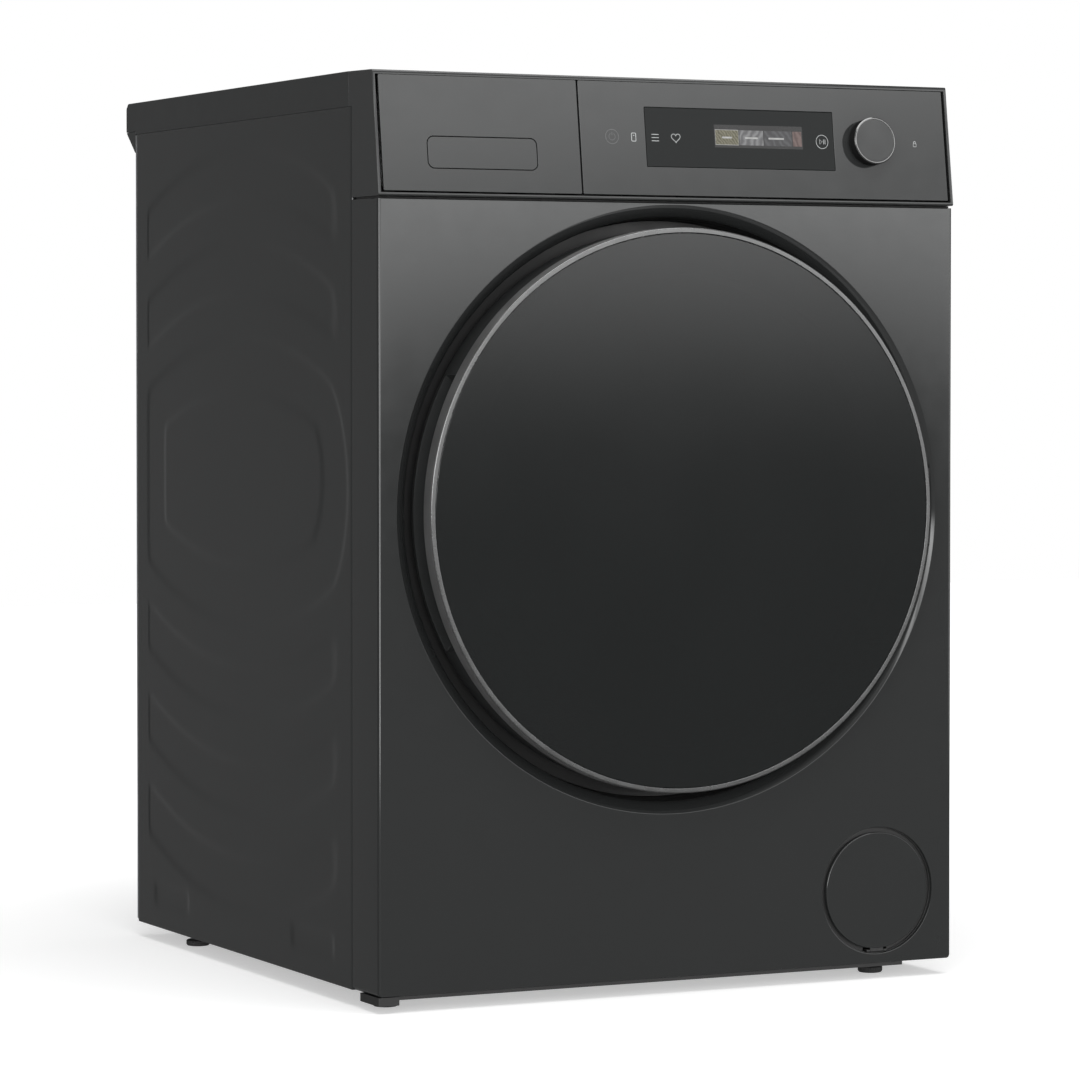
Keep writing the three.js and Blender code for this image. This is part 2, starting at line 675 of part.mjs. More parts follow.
function doorSeal() {
  const inner = THROAT_R + 7;
  return turned([
    [inner, FRAME_BACK + GAP],
    [inner + 10, FRAME_BACK + GAP],
    [inner + 8, RECESS_DEPTH - GAP],
    [inner + 2, RECESS_DEPTH - GAP],
  ], 0, DOOR_Z);
}
place('door_seal', doorSeal(), rubber);

const HOOK_REACH = 44;

function doorHook() {
  const x = [LATCH_X - 2, LATCH_X + 2];
  const z = [DOOR_Z - 6, DOOR_Z + 6];
  return join(
    block([x[0] - 5, x[1] + 5], [FRAME_BACK + GAP, FRAME_BACK + 3], z),
    block(x, [FRAME_BACK + 2, HOOK_REACH], z),
    block([x[0] - 2.5, x[1]], [HOOK_REACH - 3, HOOK_REACH], z),
  );
}
place('door_latch_hook', doorHook(), steel);

function doorLock() {
  const front = RECESS_DEPTH + SHEET + GAP;
  const body = block([LATCH_X - 18, LATCH_X + 16], [front, front + 23], [DOOR_Z - 24, DOOR_Z + 24]);
  const slot = block(LATCH_SLOT.x, [front - 1, HOOK_REACH + 4], LATCH_SLOT.z);
  return cut(body, slot);
}
place('door_lock', doorLock(), blackPlastic);

// The hinge pin stands beside the ring, in front of the panel's face, so the door swings clear of it.
const HINGE = { x: DOOR_RING_R + 4.1, y: -12, r: 3.2, pinR: 1.6, half: 36, knuckle: 25.5 };

function hingeBracket() {
  const back = RECESS_DEPTH - GAP;
  const x = [HINGE.x - HINGE.r, HINGE.x + 0.8];
  const plate = block([HINGE.x - 28, x[1]], [back - 3, back], [DOOR_Z - HINGE.half, DOOR_Z + HINGE.half]);
  let bracket = plate;
  for (const side of [-1, 1]) {
    const z = [DOOR_Z + side * (HINGE.knuckle + 0.5), DOOR_Z + side * HINGE.half].sort((a, b) => a - b);
    bracket = join(bracket, block(x, [HINGE.y, back - 1], z), post(HINGE.r, z, HINGE.x, HINGE.y, 16));
  }
  const pin = post(HINGE.pinR, [DOOR_Z - HINGE.half + 1, DOOR_Z + HINGE.half - 1], HINGE.x, HINGE.y, 12);
  return join(bracket, pin);
}
place('door_hinge_bracket', hingeBracket(), steel);

function hingeLeaf() {
  const z = [DOOR_Z - HINGE.knuckle, DOOR_Z + HINGE.knuckle];
  const side = DOOR_BODY_R + GAP;
  const arm = prismUp(outline([
    [side, RING_BACK + 1.5],
    [HINGE.x - 2.4, RING_BACK + 1],
    [HINGE.x, HINGE.y],
    [HINGE.x + 2.8, HINGE.y + 1.5],
    [side + 3, RING_BACK + 8],
    [side + 2.2, DOOR_BODY_BACK - 2],
    [side, DOOR_BODY_BACK - 2],
  ]), z);
  const knuckle = post(HINGE.r, z, HINGE.x, HINGE.y, 16);
  return cut(join(arm, knuckle), post(HINGE.pinR + 0.4, [z[0] - 1, z[1] + 1], HINGE.x, HINGE.y, 12));
}
place('door_hinge_leaf', hingeLeaf(), steel);

// ---- Front bulkhead, throat and lint filter ----
const FILTER = { half: 93.2, y: [BULKHEAD_Y - 10, BULKHEAD_Y + 5], bottom: DOOR_Z - 349, grip: 9 };
const ROLLER = { r: 30, bore: 5.6, y: [DRUM_FRONT + 3, DRUM_FRONT + 21], angle: THREE.MathUtils.degToRad(35) };
const ROLLER_REACH = DRUM_R + ROLLER.r + RUN;
const rollerSpot = (side) => [
  side * ROLLER_REACH * Math.sin(ROLLER.angle),
  DOOR_Z - ROLLER_REACH * Math.cos(ROLLER.angle),
];

function frontBulkhead() {
  const throatWall = 4;
  const plate = prismBack(outline([
    [-INNER, DOOR_Z - 300],
    [INNER, DOOR_Z - 300],
    [INNER, PANEL_TOP - 1],
    [-INNER, PANEL_TOP - 1],
  ]), [BULKHEAD_Y, BULKHEAD_Y + 2.5]);
  const throat = turned([
    [THROAT_R, RECESS_DEPTH + SHEET + GAP],
    [THROAT_R + throatWall, RECESS_DEPTH + SHEET + GAP],
    [THROAT_R + throatWall, THROAT_BACK],
    [THROAT_R, THROAT_BACK],
  ], 0, DOOR_Z);
  const wall = 2.5;
  const slot = {
    x: [-FILTER.half - RUN, FILTER.half + RUN],
    y: [FILTER.y[0] - RUN, FILTER.y[1] + RUN],
    z: [FILTER.bottom - RUN, DOOR_Z - THROAT_R / 2],
  };
  const housing = block(
    [slot.x[0] - wall, slot.x[1] + wall],
    [slot.y[0] - wall, slot.y[1] + wall - 0.3],
    [slot.z[0] - wall, DOOR_Z - THROAT_R * 0.86],
  );
  const bore = disc(THROAT_R, [0, THROAT_BACK + 5], 0, DOOR_Z);
  let body = cut(join(plate, housing), bore, block(slot.x, slot.y, slot.z));
  body = join(body, cut(throat, block(slot.x, slot.y, slot.z)));
  for (const side of [-1, 1]) {
    const [x, z] = rollerSpot(side);
    body = join(body, disc(ROLLER.bore - RUN, [BULKHEAD_Y + 1, ROLLER.y[1] + 4], x, z, 12));
  }
  return body;
}
place('front_bulkhead', frontBulkhead(), greyPlastic);

function lintFilter() {
  const bore = disc(THROAT_R, [0, THROAT_BACK + 5], 0, DOOR_Z);
  const body = block([-FILTER.half, FILTER.half], FILTER.y, [FILTER.bottom, DOOR_Z - THROAT_R * 0.86]);
  let filter = cut(body, bore);
  const pane = (2 * FILTER.half - 24) / 3;
  for (let i = 0; i < 3; i += 1) {
    const from = -FILTER.half + 6 + i * (pane + 6);
    const top = DOOR_Z - THROAT_R - 12;
    filter = cut(filter, block([from, from + pane], [0, THROAT_BACK + 5], [FILTER.bottom + 10, top]));
  }
  const middle = (FILTER.y[0] + FILTER.y[1]) / 2;
  const grip = block([-24, 24], [middle - 2, middle + 2], [DOOR_Z - THROAT_R - 5, DOOR_Z - THROAT_R + FILTER.grip]);
  return join(filter, grip);
}
place('lint_filter', lintFilter(), palePlastic);

function moistureSensor() {
  const carrier = (low, high, y) => turned([[low, y[0]], [high, y[0]], [high, y[1]], [low, y[1]]], 0, DOOR_Z);
  const spread = THREE.MathUtils.degToRad(14);
  const wedge = prismBack(outline([
    [0, DOOR_Z],
    [THROAT_R * 1.5 * Math.sin(spread), DOOR_Z - THROAT_R * 1.5 * Math.cos(spread)],
    [-THROAT_R * 1.5 * Math.sin(spread), DOOR_Z - THROAT_R * 1.5 * Math.cos(spread)],
  ]), [0, 100]);
  const outer = THROAT_R - GAP;
  const base = carrier(outer - 1, outer, [45, 72]);
  const strips = [[48, 54], [63, 69]].map((y) => carrier(outer - 2, outer - 0.5, y));
  return join(base, ...strips).intersect(wedge);
}
place('moisture_sensor', moistureSensor(), steel);

place('drum_lamp', post(11, [DOOR_Z + THROAT_R - 8, DOOR_Z + THROAT_R - 1.2], 0, BULKHEAD_Y + 4, 16), clearGlass);

function frontDrumSeal() {
  const inner = THROAT_R + 4 + GAP;
  const y = [BULKHEAD_Y + 8, THROAT_BACK - 2];
  return turned([[inner, y[0]], [DRUM_NECK_R - 3, y[0]], [DRUM_NECK_R - 3, y[1]], [inner, y[1]]], 0, DOOR_Z);
}
place('front_drum_seal', frontDrumSeal(), felt);

for (const [name, side] of [['left', -1], ['right', 1]]) {
  const [x, z] = rollerSpot(side);
  const [from, to] = ROLLER.y;
  const wheel = turned([
    [ROLLER.bore, from],
    [ROLLER.r - 1, from],
    [ROLLER.r, from + 1],
    [ROLLER.r, to - 1],
    [ROLLER.r - 1, to],
    [ROLLER.bore, to],
  ], x, z, ROUND_STEPS);
  place(`drum_roller_${name}`, wheel, rubber);
}

// ---- Drum ----
const SHAFT_R = 10;
const AIR_SLOTS = 12;

function drum() {
  const neck = BULKHEAD_Y + 9.5;
  const w = DRUM_WALL;
  const shell = turned([
    [0, DRUM_BACK + 30],
    [SHAFT_R, DRUM_BACK + 30],
    [SHAFT_R, DRUM_BACK],
    [DRUM_R, DRUM_BACK],
    [DRUM_R, DRUM_FRONT],
    [DRUM_NECK_R, DRUM_FRONT],
    [DRUM_NECK_R, neck],
    [DRUM_NECK_R - w, neck],
    [DRUM_NECK_R - w, DRUM_FRONT + w],
    [DRUM_R - w, DRUM_FRONT + w],
    [DRUM_R - w, DRUM_BACK - w],
    [0, DRUM_BACK - w],
  ], 0, DOOR_Z);
  const slots = [];
  for (let i = 0; i < AIR_SLOTS; i += 1) {
    const angle = (2 * Math.PI * (i + 0.5)) / AIR_SLOTS;
    const reach = DRUM_R * 0.55;
    slots.push(disc(26, [DRUM_BACK - 3, DRUM_BACK + 1], reach * Math.cos(angle), DOOR_Z + reach * Math.sin(angle), 8));
  }
  return cut(shell, ...slots);
}
place('drum', drum(), steel);

// A lifter is a hollow-looking rib with a foot that follows the drum's wall.
function lifter(angle) {
  const seat = (DRUM_R - DRUM_WALL) * Math.cos(Math.PI / RING_STEPS) - GAP;
  const foot = 0.11;
  const shape = new THREE.Shape();
  shape.absarc(0, 0, seat, -foot, foot, false);
  shape.lineTo(seat - LIFTER_HEIGHT + 6, 13);
  shape.lineTo(seat - LIFTER_HEIGHT, 7);
  shape.lineTo(seat - LIFTER_HEIGHT, -7);
  shape.lineTo(seat - LIFTER_HEIGHT + 6, -13);
  const rib = prism(shape, DRUM_FRONT + 18, DRUM_BACK - 16, 4);
  rib.rotateZ(angle);
  const swap = new THREE.Matrix4().set(1, 0, 0, 0, 0, 0, 1, 0, 0, 1, 0, DOOR_Z, 0, 0, 0, 1);
  return toSolid(rib.applyMatrix4(swap));
}
for (let i = 0; i < 3; i += 1) {
  place(`drum_lifter_${i + 1}`, lifter(Math.PI * (1 / 6 + (2 * i) / 3)), greyPlastic);
}

function rearBulkhead() {
  const y = [REAR_PLATE_Y, REAR_PLATE_Y + 2.5];
  const plate = prismBack(outline([
    [-INNER, DOOR_Z - 284],
    [INNER, DOOR_Z - 284],
    [INNER, WORKTOP_BOTTOM - 6],
    [-INNER, WORKTOP_BOTTOM - 6],
  ]), y);
  const holes = [disc(24 + GAP, [y[0] - 1, y[1] + 1], 0, DOOR_Z, ROUND_STEPS)];
  for (let i = 0; i < AIR_SLOTS; i += 1) {
    const angle = (2 * Math.PI * (i + 0.5)) / AIR_SLOTS;
    const reach = DRUM_R * 0.55;
    holes.push(disc(28, [y[0] - 1, y[1] + 1], reach * Math.cos(angle), DOOR_Z + reach * Math.sin(angle), 8));
  }
  return cut(plate, ...holes);
}
place('rear_bulkhead', rearBulkhead(), zinc);

function drumBearing() {
  const plate = REAR_PLATE_Y + 2.5 + GAP;
  return turned([
    [SHAFT_R + 0.3, REAR_PLATE_Y - 7],
    [24, REAR_PLATE_Y - 7],
    [24, plate],
    [45, plate],
    [45, plate + 3],
    [24, plate + 3],
    [24, DRUM_BACK + 30],
    [SHAFT_R + 0.3, DRUM_BACK + 30],
  ], 0, DOOR_Z, ROUND_STEPS);
}
place('drum_bearing', drumBearing(), steel);

// ---- Drive ----
const MOTOR = { x: 35, z: 92, r: 46, y: [BODY_DEPTH - 210.4, BODY_DEPTH - 110.4], shaftR: 6.5 };
const BELT_Y = MOTOR.y[0] - 13;
const PULLEY_R = 9;

function motor() {
  const [from, to] = MOTOR.y;
  const can = turned([
    [MOTOR.shaftR + 1.2, from],
    [26, from],
    [26, from + 8],
    [MOTOR.r, from + 12],
    [MOTOR.r, to - 12],
    [26, to - 8],
    [26, to],
    [MOTOR.shaftR + 1.2, to],
  ], MOTOR.x, MOTOR.z, ROUND_STEPS);
  const standOn = TRAY_Z + TRAY_FLOOR + GAP;
  const legs = [from + 22, to - 34].map((y) => block([MOTOR.x - 30, MOTOR.x + 30], [y, y + 12], [standOn, MOTOR.z - 30]));
  const clear = disc(MOTOR.r - 4, [from + 13, to - 13], MOTOR.x, MOTOR.z, ROUND_STEPS);
  return join(can, ...legs.map((leg) => cut(leg, clear)));
}
place('motor', motor(), zinc);

function motorShaft() {
  const half = BELT_WIDTH / 2 + 1;
  return turned([
    [0, BELT_Y - half - 3],
    [PULLEY_R + 4, BELT_Y - half - 3],
    [PULLEY_R + 4, BELT_Y - half],
    [PULLEY_R, BELT_Y - half],
    [PULLEY_R, BELT_Y + half],
    [MOTOR.shaftR, BELT_Y + half],
    [MOTOR.shaftR, MOTOR.y[1] + 66],
    [0, MOTOR.y[1] + 66],
  ], MOTOR.x, MOTOR.z, 16);
}
place('motor_shaft', motorShaft(), steel);

// The belt runs once round the drum and the motor pulley, along the two circles' outer tangents.
function driveBelt() {
  const across = [MOTOR.x, MOTOR.z - DOOR_Z];
  const distance = Math.hypot(...across);
  const heading = Math.atan2(across[1], across[0]);
  const loop = (Shape, drumR, pulleyR) => {
    const half = Math.acos((drumR - pulleyR) / distance);
    const path = new Shape();
    path.absarc(0, DOOR_Z, drumR, heading + half, heading - half + 2 * Math.PI, false);
    path.absarc(MOTOR.x, MOTOR.z, pulleyR, heading - half, heading + half, false);
    return path;
  };
  const drumR = DRUM_R + 1.2;
  const pulleyR = PULLEY_R + 0.5;
  const band = loop(THREE.Shape, drumR + BELT_THICK, pulleyR + BELT_THICK);
  band.holes.push(loop(THREE.Path, drumR, pulleyR));
  return prismBack(band, [BELT_Y - BELT_WIDTH / 2, BELT_Y + BELT_WIDTH / 2], 20);
}
place('drive_belt', driveBelt(), rubber);

const FAN = { y: [MOTOR.y[1] + 20, MOTOR.y[1] + 62], r: 52, blades: 10 };

function fanWheel() {
  const [from, to] = FAN.y;
  let wheel = disc(FAN.r, [from, from + 3], MOTOR.x, MOTOR.z, ROUND_STEPS);
  wheel = join(wheel, disc(14, [from, to], MOTOR.x, MOTOR.z, 16));
  for (let i = 0; i < FAN.blades; i += 1) {
    const blade = new THREE.BoxGeometry(FAN.r - 14, to - from - 2, 2);
    blade.translate(14 + (FAN.r - 14) / 2 - 1, (from + to) / 2, 0);
    blade.rotateY((2 * Math.PI * i) / FAN.blades);
    blade.translate(MOTOR.x, 0, MOTOR.z);
    wheel = join(wheel, toSolid(blade));
  }
  return cut(wheel, disc(MOTOR.shaftR + GAP, [from - 1, to + 1], MOTOR.x, MOTOR.z, 16));
}
place('fan_wheel', fanWheel(), greyPlastic);

function fanHousing() {
  const wall = 2.5;
  const x = [MOTOR.x - FAN.r - 13, MOTOR.x + FAN.r + 13];
  const y = [FAN.y[0] - 6, FAN.y[1] + 10];
  const z = [TRAY_Z + TRAY_FLOOR + GAP, MOTOR.z + FAN.r + 14];
  const inside = block([x[0] + wall, x[1] - wall], [y[0] + wall, y[1] - wall], [z[0] + wall, z[1] - wall]);
  const inlet = disc(FAN.r - 12, [y[0] - 1, y[0] + wall + 1], MOTOR.x, MOTOR.z, ROUND_STEPS);
  const outlet = block([x[0] + 8, x[1] - 8], [y[1] - wall - 1, y[1] + 1], [z[1] - 44, z[1] - 8]);
  return cut(block(x, y, z), inside, inlet, outlet);
}
place('fan_housing', fanHousing(), palePlastic);

// ---- Heat pump ----
const COMPRESSOR = { x: HALF - 105, y: 330, r: 60, top: 192 };

function compressor() {
  const { x, y, r, top } = COMPRESSOR;
  const standOn = TRAY_Z + TRAY_FLOOR + GAP;
  const can = turnedUp([
    [0, standOn + 8],
    [r - 14, standOn + 8],
    [r, standOn + 20],
    [r, top - 24],
    [r - 8, top - 10],
    [r - 26, top],
    [0, top],
  ], x, y);
  return join(can, block([x - 52, x + 52], [y - 52, y + 52], [standOn, standOn + 10]));
}
place('compressor', compressor(), blackPlastic);

const COIL = { x: [-HALF + 24, -66], z: [TRAY_Z + TRAY_FLOOR + GAP, 140] };

function finBlock(y) {
  const fins = 14;
  const pitch = (COIL.x[1] - COIL.x[0]) / (fins - 0.5);
  const root = COIL.z[0] + 14;
  const points = [[COIL.x[0], COIL.z[0]], [COIL.x[1], COIL.z[0]]];
  for (let i = fins - 1; i >= 0; i -= 1) {
    const from = COIL.x[0] + i * pitch;
    points.push([from + pitch / 2, COIL.z[1]], [from, COIL.z[1]]);
    if (i > 0) points.push([from, root], [from - pitch / 2, root]);
  }
  return prismBack(outline(points), y);
}
place('evaporator', finBlock([130, 290]), steel);
place('condenser', finBlock([312, BODY_DEPTH - 105.4]), steel);

function refrigerantLine() {
  const tubeR = 4;
  const start = COMPRESSOR.x - COMPRESSOR.r - GAP - 1;
  const end = COIL.x[1] + GAP + 2;
  const y = COMPRESSOR.y + 4;
  const curve = new THREE.CatmullRomCurve3([
    new THREE.Vector3(start, y, 120),
    new THREE.Vector3(start - 20, y, 120),
    new THREE.Vector3(start - 34, y, 105),
    new THREE.Vector3(start - 40, y, 70),
    new THREE.Vector3(start - 60, y, 46),
    new THREE.Vector3(end + 60, y, 46),
    new THREE.Vector3(end + 30, y, 60),
    new THREE.Vector3(end + 20, y, 90),
    new THREE.Vector3(end, y, 100),
  ]);
  const section = new THREE.Shape();
  section.absarc(0, 0, tubeR, 0, 2 * Math.PI);
  const tube = new THREE.ExtrudeGeometry(section, { steps: 28, extrudePath: curve, curveSegments: 4 });
  return toSolid(tube);
}
place('refrigerant_line', refrigerantLine(), copper);

function condensatePump() {
  const spot = [-HALF + 110, BODY_DEPTH - 42];
  const standOn = TRAY_Z + TRAY_FLOOR + GAP;
  return join(
    post(26, [standOn, standOn + 40], ...spot, 16),
    post(18, [standOn + 39, standOn + 66], ...spot, 16),
    disc(5, [spot[1] - 42, spot[1] - 10], spot[0], standOn + 20, 12),
  );
}
place('condensate_pump', condensatePump(), greyPlastic);

// ---- Service hatch ----
const HATCH_HINGE = { y: 1.8, z: HATCH_Z - 57.5, r: 1.4, pinR: 0.7, knuckle: 7, ear: 11 };
const CAP_R = 36;

function hatchHousing() {
  const back = 41;
  const wallR = HATCH_HOLE_R - 1.2;
  const cup = turned([
    [wallR, SHEET + 1.5],
    [wallR + 3, SHEET + 1.5],
    [wallR + 3, back],
    [6, back],
    [6, back - 2.7],
    [wallR, back - 2.7],
  ], HATCH_X, HATCH_Z, 40);
  const { y, z, r, pinR, knuckle, ear } = HATCH_HINGE;
  let housing = cup;
  for (const side of [-1, 1]) {
    const x = [HATCH_X + side * (knuckle + 0.4), HATCH_X + side * ear].sort((a, b) => a - b);
    housing = join(housing, block(x, [y, SHEET + 6], [z - r, z + r]), bar(r, x, y, z, 10));
    housing = join(housing, block(x, [SHEET + 1, SHEET + 6], [z - r - 3, z + r]));
  }
  return join(housing, bar(pinR, [HATCH_X - ear + 1, HATCH_X + ear - 1], y, z, 8));
}
place('hatch_housing', hatchHousing(), blackPlastic);

function hatchCover() {
  const { y, z, r, pinR, knuckle } = HATCH_HINGE;
  const front = 0.2;
  const plate = disc(HATCH_R, [front, front + 4], HATCH_X, HATCH_Z, 40);
  const x = [HATCH_X - knuckle, HATCH_X + knuckle];
  const web = block(x, [y - 1, y + 1], [z, HATCH_Z - HATCH_R + 1.5]);
  return cut(join(plate, web, bar(r, x, y, z, 10)), bar(pinR + 0.25, [x[0] - 1, x[1] + 1], y, z, 8));
}
place('hatch_cover', hatchCover(), graphitePlastic);

function filterCap() {
  const head = turned([
    [0, 30],
    [CAP_R - 2, 30],
    [CAP_R, 32],
    [CAP_R, 37.7],
    [5.4, 37.7],
    [5.4, 44],
    [0, 44],
  ], HATCH_X, HATCH_Z, ROUND_STEPS);
  return join(head, block([HATCH_X - 29, HATCH_X + 29], [18, 31], [HATCH_Z - 4.5, HATCH_Z + 4.5]));
}
place('filter_cap', filterCap(), greyPlastic);

export default machine;
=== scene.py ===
# %% [markdown]
# # A heat-pump clothes dryer
# The moving frame of this machine was drawn in CAD and packed. Here we dress it: each
# shell gets its true curves and edges, and each finish is mixed from nodes. The packed
# frame stays where it is, and every new piece rides on one of its bodies.

import math

import bmesh
import bpy
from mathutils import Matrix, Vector


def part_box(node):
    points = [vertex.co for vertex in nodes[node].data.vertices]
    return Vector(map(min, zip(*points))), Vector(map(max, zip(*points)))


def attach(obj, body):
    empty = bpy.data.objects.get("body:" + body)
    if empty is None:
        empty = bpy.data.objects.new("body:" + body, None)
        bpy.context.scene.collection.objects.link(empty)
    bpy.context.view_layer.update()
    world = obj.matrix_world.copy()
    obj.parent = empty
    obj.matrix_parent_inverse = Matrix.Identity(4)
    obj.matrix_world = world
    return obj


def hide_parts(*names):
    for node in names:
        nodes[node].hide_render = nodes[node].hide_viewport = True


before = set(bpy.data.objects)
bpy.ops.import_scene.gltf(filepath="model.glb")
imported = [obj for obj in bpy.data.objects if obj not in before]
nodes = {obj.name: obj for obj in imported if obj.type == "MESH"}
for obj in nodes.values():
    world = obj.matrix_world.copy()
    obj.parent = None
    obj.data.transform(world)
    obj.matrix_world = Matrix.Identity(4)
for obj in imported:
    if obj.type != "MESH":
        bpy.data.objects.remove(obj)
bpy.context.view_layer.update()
scene = bpy.context.scene

# %% [markdown]
# We draw in millimetres, because that is how a sheet-metal shop thinks, and turn to
# metres once, when a mesh is stored. The main places below are read from the imported nodes, and the rest are
# given as numbers.

# %% Places taken from the frame
MM = 0.001


def box(name):
    """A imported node's lowest and highest corner, in millimetres."""
    low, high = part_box(name)
    return low / MM, high / MM


panel_low, panel_high = box("front_panel")
ring_low, ring_high = box("door_trim_ring")
FACE = panel_low.y
DOOR_Z = (ring_low.z + ring_high.z) / 2
RING_R = (ring_high.x - ring_low.x) / 2
HALF = panel_high.x
RAKE = math.radians(7.5)
print("face at", round(FACE, 1), "door axis", round(DOOR_Z, 1), "ring", round(RING_R, 1))

# %% [markdown]
# ## Camera
# A long lens far away keeps the machine's upright edges almost parallel, as in a
# catalogue view: a little to the left of the machine, at two thirds of its height.

# %% Camera
SENSOR = 36.0
LENS = 144.566667
TILT = math.radians(1.4977776)  # a small look down; the lens's shift does the rest
HEADING = math.radians(-26.174)
camera_data = bpy.data.cameras.new("camera")
camera_data.sensor_width = SENSOR
camera_data.lens = LENS
camera_data.shift_y = -0.06
camera_data.clip_start = 0.1
camera_data.clip_end = 100
camera = bpy.data.objects.new("camera", camera_data)
camera.location = (-1.8817, -3.8488, 0.5866)
camera.rotation_euler = (math.radians(90) - TILT, 0, HEADING)
scene.collection.objects.link(camera)
scene.camera = camera
print("lens", round(camera_data.lens, 1), "mm")

# %% [markdown]
# ## Floor and light
# A plain pale floor that glows a little, and a sky that acts as a big soft box in front of
# the machine, brighter towards its left. The sky is brightest just above the horizon and
# weakens upwards. A second band higher up is the one that the leaning control panel mirrors.
# The floor stays out of mirror images, so dark paint fades from top to bottom.

# %% Sky
world = bpy.data.worlds.new("soft_box_sky")
scene.world = world
world.use_nodes = True
sky = world.node_tree
sky.nodes.clear()


def link(tree, a, b):
    tree.links.new(a, b)


def add(tree, kind, **values):
    """One node; values are its properties, or its inputs by name."""
    made = tree.nodes.new(kind)
    for key, value in values.items():
        if hasattr(made, key):
            setattr(made, key, value)
        else:
            made.inputs[key.replace("_", " ")].default_value = value
    return made


def soft_step(tree, value, span, levels):
    """levels[0] at span[0] and levels[1] at span[1], with a soft bend between them."""
    made = add(tree, "ShaderNodeMapRange", interpolation_type="SMOOTHSTEP")
    made.inputs["From Min"].default_value = span[0]
    made.inputs["From Max"].default_value = span[1]
    made.inputs["To Min"].default_value = levels[0]
    made.inputs["To Max"].default_value = levels[1]
    link(tree, value, made.inputs["Value"])
    return made.outputs[0]


SKY_POWER = 3.9
SKY_FILL = 0.2  # what is left behind the machine
LEFT_GAIN = 1.9
LOWEST, HIGHEST = -0.1, 0.7  # the heights that the ramp covers, as the sine of the elevation
STOPS = [(-0.02, 0.034), (0.055, 1.0), (0.19, 0.6), (0.258, 0.32), (0.296, 0.74), (0.33, 0.72), (0.41, 0.08)]
direction = add(sky, "ShaderNodeTexCoord")
split = add(sky, "ShaderNodeSeparateXYZ")
link(sky, direction.outputs["Generated"], split.inputs[0])
height = add(sky, "ShaderNodeMapRange", clamp=True)
height.inputs["From Min"].default_value = LOWEST
height.inputs["From Max"].default_value = HIGHEST
link(sky, split.outputs["Z"], height.inputs["Value"])
fade = add(sky, "ShaderNodeValToRGB")
fade.color_ramp.interpolation = "EASE"
for step, (z, level) in enumerate(STOPS):
    stop = fade.color_ramp.elements[step] if step < 2 else fade.color_ramp.elements.new(1.0)
    stop.position = (z - LOWEST) / (HIGHEST - LOWEST)
    stop.color = (level, level, level, 1)
link(sky, height.outputs[0], fade.inputs["Fac"])
bright = add(sky, "ShaderNodeMath", operation="MULTIPLY")
bright.inputs[1].default_value = SKY_POWER
link(sky, fade.outputs["Color"], bright.inputs[0])
both = add(sky, "ShaderNodeMath", operation="MULTIPLY")
link(sky, bright.outputs[0], both.inputs[0])
link(sky, soft_step(sky, split.outputs["Y"], (-0.25, -0.75), (0.0, 1.0)), both.inputs[1])
everywhere = add(sky, "ShaderNodeMath", operation="MULTIPLY_ADD")
everywhere.inputs[2].default_value = SKY_FILL
link(sky, both.outputs[0], everywhere.inputs[0])
link(sky, soft_step(sky, split.outputs["X"], (0.15, -0.35), (1.0, LEFT_GAIN)), everywhere.inputs[1])
glow = add(sky, "ShaderNodeBackground", Color=(1, 1, 1, 1))
link(sky, everywhere.outputs[0], glow.inputs["Strength"])
white = add(sky, "ShaderNodeBackground", Color=(1, 1, 1, 1), Strength=1.0)
seen = add(sky, "ShaderNodeLightPath")
choose = add(sky, "ShaderNodeMixShader")
link(sky, seen.outputs["Is Camera Ray"], choose.inputs[0])
link(sky, glow.outputs[0], choose.inputs[1])
link(sky, white.outputs[0], choose.inputs[2])
link(sky, choose.outputs[0], add(sky, "ShaderNodeOutputWorld").inputs["Surface"])
scene.view_settings.view_transform = "Standard"
print("sky:", len(sky.nodes), "nodes")

# %% Floor and lamp
FLOOR_GLOW = (0.45, 0.8)  # near the machine, and far from it
FLOOR_FADE = (0.45, 1.6)  # the distances between which the glow changes, in metres
floor_mesh = bpy.data.meshes.new("floor")
floor_mesh.from_pydata([(-6, -6, 0), (6, -6, 0), (6, 6, 0), (-6, 6, 0)], [], [(0, 1, 2, 3)])
floor = bpy.data.objects.new("floor", floor_mesh)
scene.collection.objects.link(floor)
pale = bpy.data.materials.new("pale_floor")
pale.use_nodes = True
paper = pale.node_tree
paper_shader = paper.nodes["Principled BSDF"]
paper_shader.inputs["Base Color"].default_value = (0.75, 0.75, 0.75, 1)
paper_shader.inputs["Roughness"].default_value = 0.9
paper_shader.inputs["Emission Color"].default_value = (1, 1, 1, 1)
reach = add(paper, "ShaderNodeVectorMath", operation="LENGTH")
link(paper, add(paper, "ShaderNodeTexCoord").outputs["Object"], reach.inputs[0])
link(paper, soft_step(paper, reach.outputs["Value"], FLOOR_FADE, FLOOR_GLOW),
     paper_shader.inputs["Emission Strength"])
floor_mesh.materials.append(pale)
floor.visible_glossy = False


def soft_lamp(name, place, target, size, power):
    lamp = bpy.data.lights.new(name, "AREA")
    lamp.shape = "RECTANGLE"
    lamp.size, lamp.size_y = size
    lamp.energy = power
    holder = bpy.data.objects.new(name, lamp)
    holder.location = place
    holder.rotation_euler = (Vector(target) - Vector(place)).to_track_quat("-Z", "Y").to_euler()
    scene.collection.objects.link(holder)
    return holder


soft_lamp("top_light", (0.0, -0.6, 2.6), (0, 0, 0.4), (2.4, 2.4), 60)
print("floor and lamp ready")

# %% [markdown]
# ## Finishes
# Every finish here is the same idea with different numbers: a base colour that drifts a
# little over a hand's width, a gloss that drifts over a finger's width, a grain pressed
# into the surface as a bump, and edges painted lighter, as a painted edge highlight with some rubbed wear.
# One function mixes them all; the parts that are the same all over sit on the shader itself.

# %% One recipe for all finishes
def rgba(colour, factor=1.0):
    return tuple(min(1.0, c * factor) for c in colour) + (1.0,)


